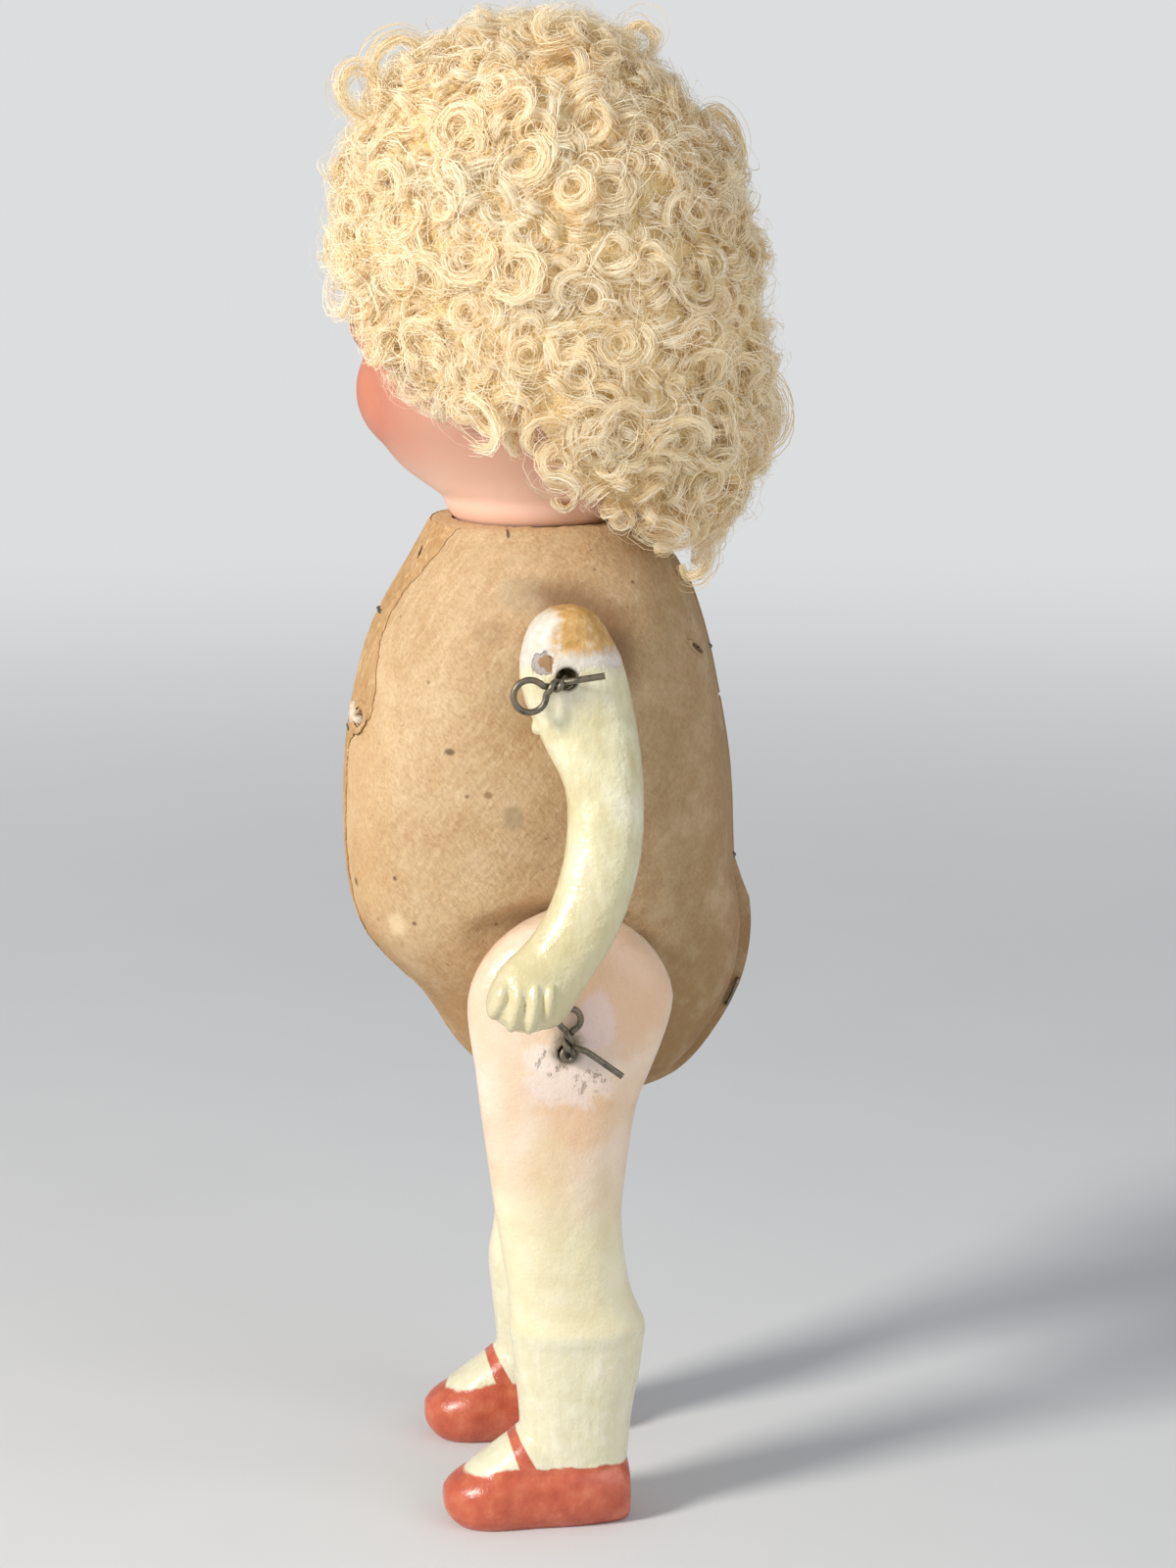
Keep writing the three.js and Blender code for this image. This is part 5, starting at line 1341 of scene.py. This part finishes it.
# %% Curls
GAP, HAIRS_IN_CURL, CURL_RIBBON = 2.45, 41, 0.112
MOST, CURL_TRIES = 190, 12000  # curls in a piece, and places tried on a weft
total = 0
for node in HAIR_NODES:
    places, outward = weft_surface(node, CURL_TRIES)
    locks = []
    for n in spaced(places, GAP):
        out, place = outward[n], places[n]
        snail = chance.random() < 0.22
        radius = chance.uniform(2.2, 3.6) if snail else chance.uniform(0.9, 2.3)
        thick = chance.uniform(0.65, 1.15)
        turns = chance.uniform(1.2, 1.8) if snail else chance.uniform(0.7, 1.45)
        along = unit(np.cross(out, chance.normal(0, 1, 3)) + [0, 0, -0.6])
        axis = along + out * (2.4 if snail else chance.choice([0.15, 0.5, 1.6])) * chance.choice([-1, 1])
        sink = 0.9 if snail else (radius + 0.5 * thick) * chance.uniform(0.6, 1.05)
        pitch, way = chance.uniform(0.5, 2.2), chance.choice([-1, 1])
        start, closing = chance.uniform(0, 6.3), 0.65 if snail else 0.35
        locks.append(lock(place - out * sink, axis, out, radius, pitch, turns * way, start,
                          HAIRS_IN_CURL, thick, CURL_RIBBON, closing))
    for k in range(0, len(locks), MOST):
        hair_piece(f"{node}_curls_{k // MOST + 1}", locks[k:k + MOST], curl_hair, node)
    total += len(locks)
print("curls:", total)

# %% [markdown]
# ## Single curls
# A few curls have left the mass: one hooks off the forehead, one hangs over the ear, one ends as a ring
# on the neck, three hang from the lowest edge at the nape and four stand out at the crown and the back.
# Each follows a line that is drawn point by point, with its hairs twisted round it.

# %% Single curls
def tress(points, hairs, thick, wide):
    """Ribbons and tones of the hairs that follow one drawn line."""
    line = np.array(between(points, 8)) + [0, neck_mm[1], 0]
    t = np.linspace(0, 1, 25)[None, :]
    line = np.stack([np.interp(t[0], np.linspace(0, 1, len(line)), axis) for axis in line.T], -1)
    along = unit(np.gradient(line, axis=0))
    side = unit(np.cross(along, [1.0, 0.1, 0.1]))
    over = np.cross(along, side)
    bundle = thick * (0.35 + 0.65 * np.sin(math.pi * np.clip(0.15 + 0.8 * t, 0, 1)))
    drift = 1 + 0.4 * np.sin(chance.uniform(2, 8, (hairs, 1)) * t + chance.uniform(0, 6.3, (hairs, 1)))
    spread = np.abs(chance.normal(0, 0.6, (hairs, 1))) * bundle * drift
    turn = chance.uniform(0, 6.3, (hairs, 1)) + chance.uniform(-6, 6, (hairs, 1)) * t
    a, b = spread * np.cos(turn), spread * np.sin(turn)
    waver = 0.25 * np.sin(chance.uniform(4, 16, (hairs, 1)) * t + chance.uniform(0, 6.3, (hairs, 1)))
    lines = line + side * (a + waver)[..., None] + over * (b + waver)[..., None]
    across = unit(np.cross(along, [1.0, -0.2, 0.3] + chance.normal(0, 0.9, (hairs, 1, 3))))
    taper = wide * np.sin(math.pi * (0.1 + 0.84 * t)) ** 0.5 * chance.uniform(0.6, 1.25, (hairs, 1))
    ribbon = np.stack([lines - across * taper[..., None] / 2, lines + across * taper[..., None] / 2], 2)
    tone = np.clip(0.62 + 0.25 * a / thick + chance.normal(0, 0.12, (hairs, 1)) + 0 * t, 0, 1)
    return ribbon, np.repeat(tone[..., None], 2, 2)


HAIRS_IN_TRESS, TRESS_RIBBON = 90, 0.085
TRESSES = {  # thickness, points from root to tip
    "forehead_hook": (1.5, [(3, -15.0, 176.0), (3, -18.6, 178.0), (3.2, -21.8, 178.4), (3.4, -24.0, 180.2),
        (3.4, -24.4, 182.6), (3.2, -22.6, 184.4), (3.0, -20.6, 183.4), (3.0, -20.6, 181.6)]),
    "neck_ring": (0.32, [(17.5, 3.0, 141.0), (15.4, 1.8, 137.2), (13.3, 1.6, 134.4), (12.7, 0.6, 132.2),
        (12.6, 1.9, 130.8), (12.6, 3.3, 131.8), (12.7, 2.0, 133.3), (12.8, 0.9, 132.6)]),
    "ear_lock": (1.1, [(20.0, -4.4, 148.0), (21.4, -5.2, 144.0), (21.4, -5.6, 141.2), (20.8, -5.0, 139.2),
        (20.2, -4.2, 138.8)]),
    "nape_lock_1": (1.5, [(12.0, 16.0, 132.0), (11.0, 18.8, 128.0), (10.4, 20.2, 125.0),
        (9.8, 19.6, 122.4), (9.4, 17.8, 121.8), (9.2, 17.0, 123.2)]),
    "nape_lock_2": (1.5, [(7.0, 19.0, 132.0), (6.0, 20.6, 128.0), (5.2, 20.8, 125.4), (5.0, 20.0, 123.6),
        (5.2, 19.2, 122.8)]),
    "nape_lock_3": (1.4, [(15.5, 11.0, 134.0), (15.4, 13.6, 130.4), (14.6, 14.6, 127.8),
        (13.8, 14.2, 126.2), (13.6, 13.0, 125.9)]),
    "crown_curl_front": (1.7, [(3.0, -18.0, 180.4), (3.0, -20.2, 183.4), (3.0, -19.6, 186.2),
        (3.0, -17.2, 187.6), (3.0, -14.8, 186.6), (3.0, -15.0, 184.4), (3.0, -17.0, 183.8)]),
    "crown_curl_back": (1.2, [(2.0, 9.6, 184.0), (2.0, 10.6, 187.4), (2.0, 12.5, 189.3),
        (2.0, 14.5, 187.6), (2.0, 13.5, 184.8)]),
    "back_curl_upper": (1.3, [(2.0, 18.6, 175.0), (2.0, 20.4, 177.7), (2.0, 22.4, 178.6),
        (2.0, 24.8, 175.8), (2.0, 25.3, 172.9), (2.0, 23.4, 171.5)]),
    "back_curl_lower": (1.9, [(2.0, 21.6, 142.6), (2.0, 23.8, 145.8), (2.0, 27.4, 146.6),
        (2.0, 30.2, 143.1), (2.0, 29.9, 138.8), (2.0, 27.2, 136.8), (2.0, 25.6, 138.8),
        (2.0, 26.8, 141.0)]),
}
singles = [tress(points, HAIRS_IN_TRESS, thick, TRESS_RIBBON) for thick, points in TRESSES.values()]
hair_piece("hair_single_curls", singles, curl_hair, "hair_left", "hair_fringe", "hair_back")

# %% Loose hairs
LOOSE_RIBBON, LOOSE_MOST, LOOSE_TRIES = 0.06, 8000, 2300
loose = []
for node in HAIR_NODES:
    places, outward = weft_surface(node, LOOSE_TRIES)
    for place, out in zip(places, outward):
        axis = chance.normal(0, 1, 3)
        radius = chance.uniform(1.2, 4.2) if chance.random() < 0.85 else chance.uniform(3.5, 6.0)
        turns = chance.choice([-1, 1]) * chance.uniform(0.25, 0.8)
        loose.append(lock(place - out * radius * 0.55, axis, out, radius, chance.uniform(0, 4), turns,
            chance.uniform(0, 6.3), 1, 0.2, LOOSE_RIBBON, 0.1))
for k in range(0, len(loose), LOOSE_MOST):
    hair_piece(f"hair_loose_{k // LOOSE_MOST + 1}", loose[k:k + LOOSE_MOST], curl_hair, *HAIR_NODES)
print("loose hairs:", len(loose))

# %% [markdown]
# ## Inner pieces
# The gauze cap, the card pate, the plaster behind the eyes and the button and hook in the neck are
# hidden, but they are there. They and the staple in the flange keep their CAD shapes and get their own
# finishes.

# %% Inner pieces
def keep(node, finish):
    frame["nodes"][node].data.materials.clear()
    frame["nodes"][node].data.materials.append(finish.material)


gauze = Finish("wig_gauze")
thread = gauze.math("SINE", gauze.x * 9) * gauze.math("SINE", gauze.z * 9)
gauze.set(Base_Color=gauze.mix(gauze.rise(thread, -0.4, 0.5), "C8B48A", "E2D4B0"), Roughness=0.9)
gauze.relief(thread, 0.15)
plaster = Finish("eye_plaster")
plaster.set(Base_Color=plaster.ramp(plaster.noise(0.6, 4), (0.3, "DAD3C4"), (0.7, "EAE5DA")), Roughness=0.9)
plaster.relief(plaster.noise(1.5, 4), 0.2)
wood = Finish("turned_wood")
wood.set(Base_Color=wood.ramp(wood.noise(0.5, 4, 0.6, (1, 4, 4)), (0.3, "8C6438"), (0.7, "B98D58")),
    Roughness=0.6)
wood.relief(wood.noise(1.0, 3, 0.6, (1, 5, 5)), 0.1)
INNER = [
    ("wig_cap", gauze), ("crown_pate", card), ("left_eye_plaster", plaster), ("right_eye_plaster", plaster),
    ("neck_button", wood), ("neck_hook", iron), ("back_staple_lower", iron),
]
for node, finish in INNER:
    keep(node, finish)
print("inner pieces keep their CAD shapes")
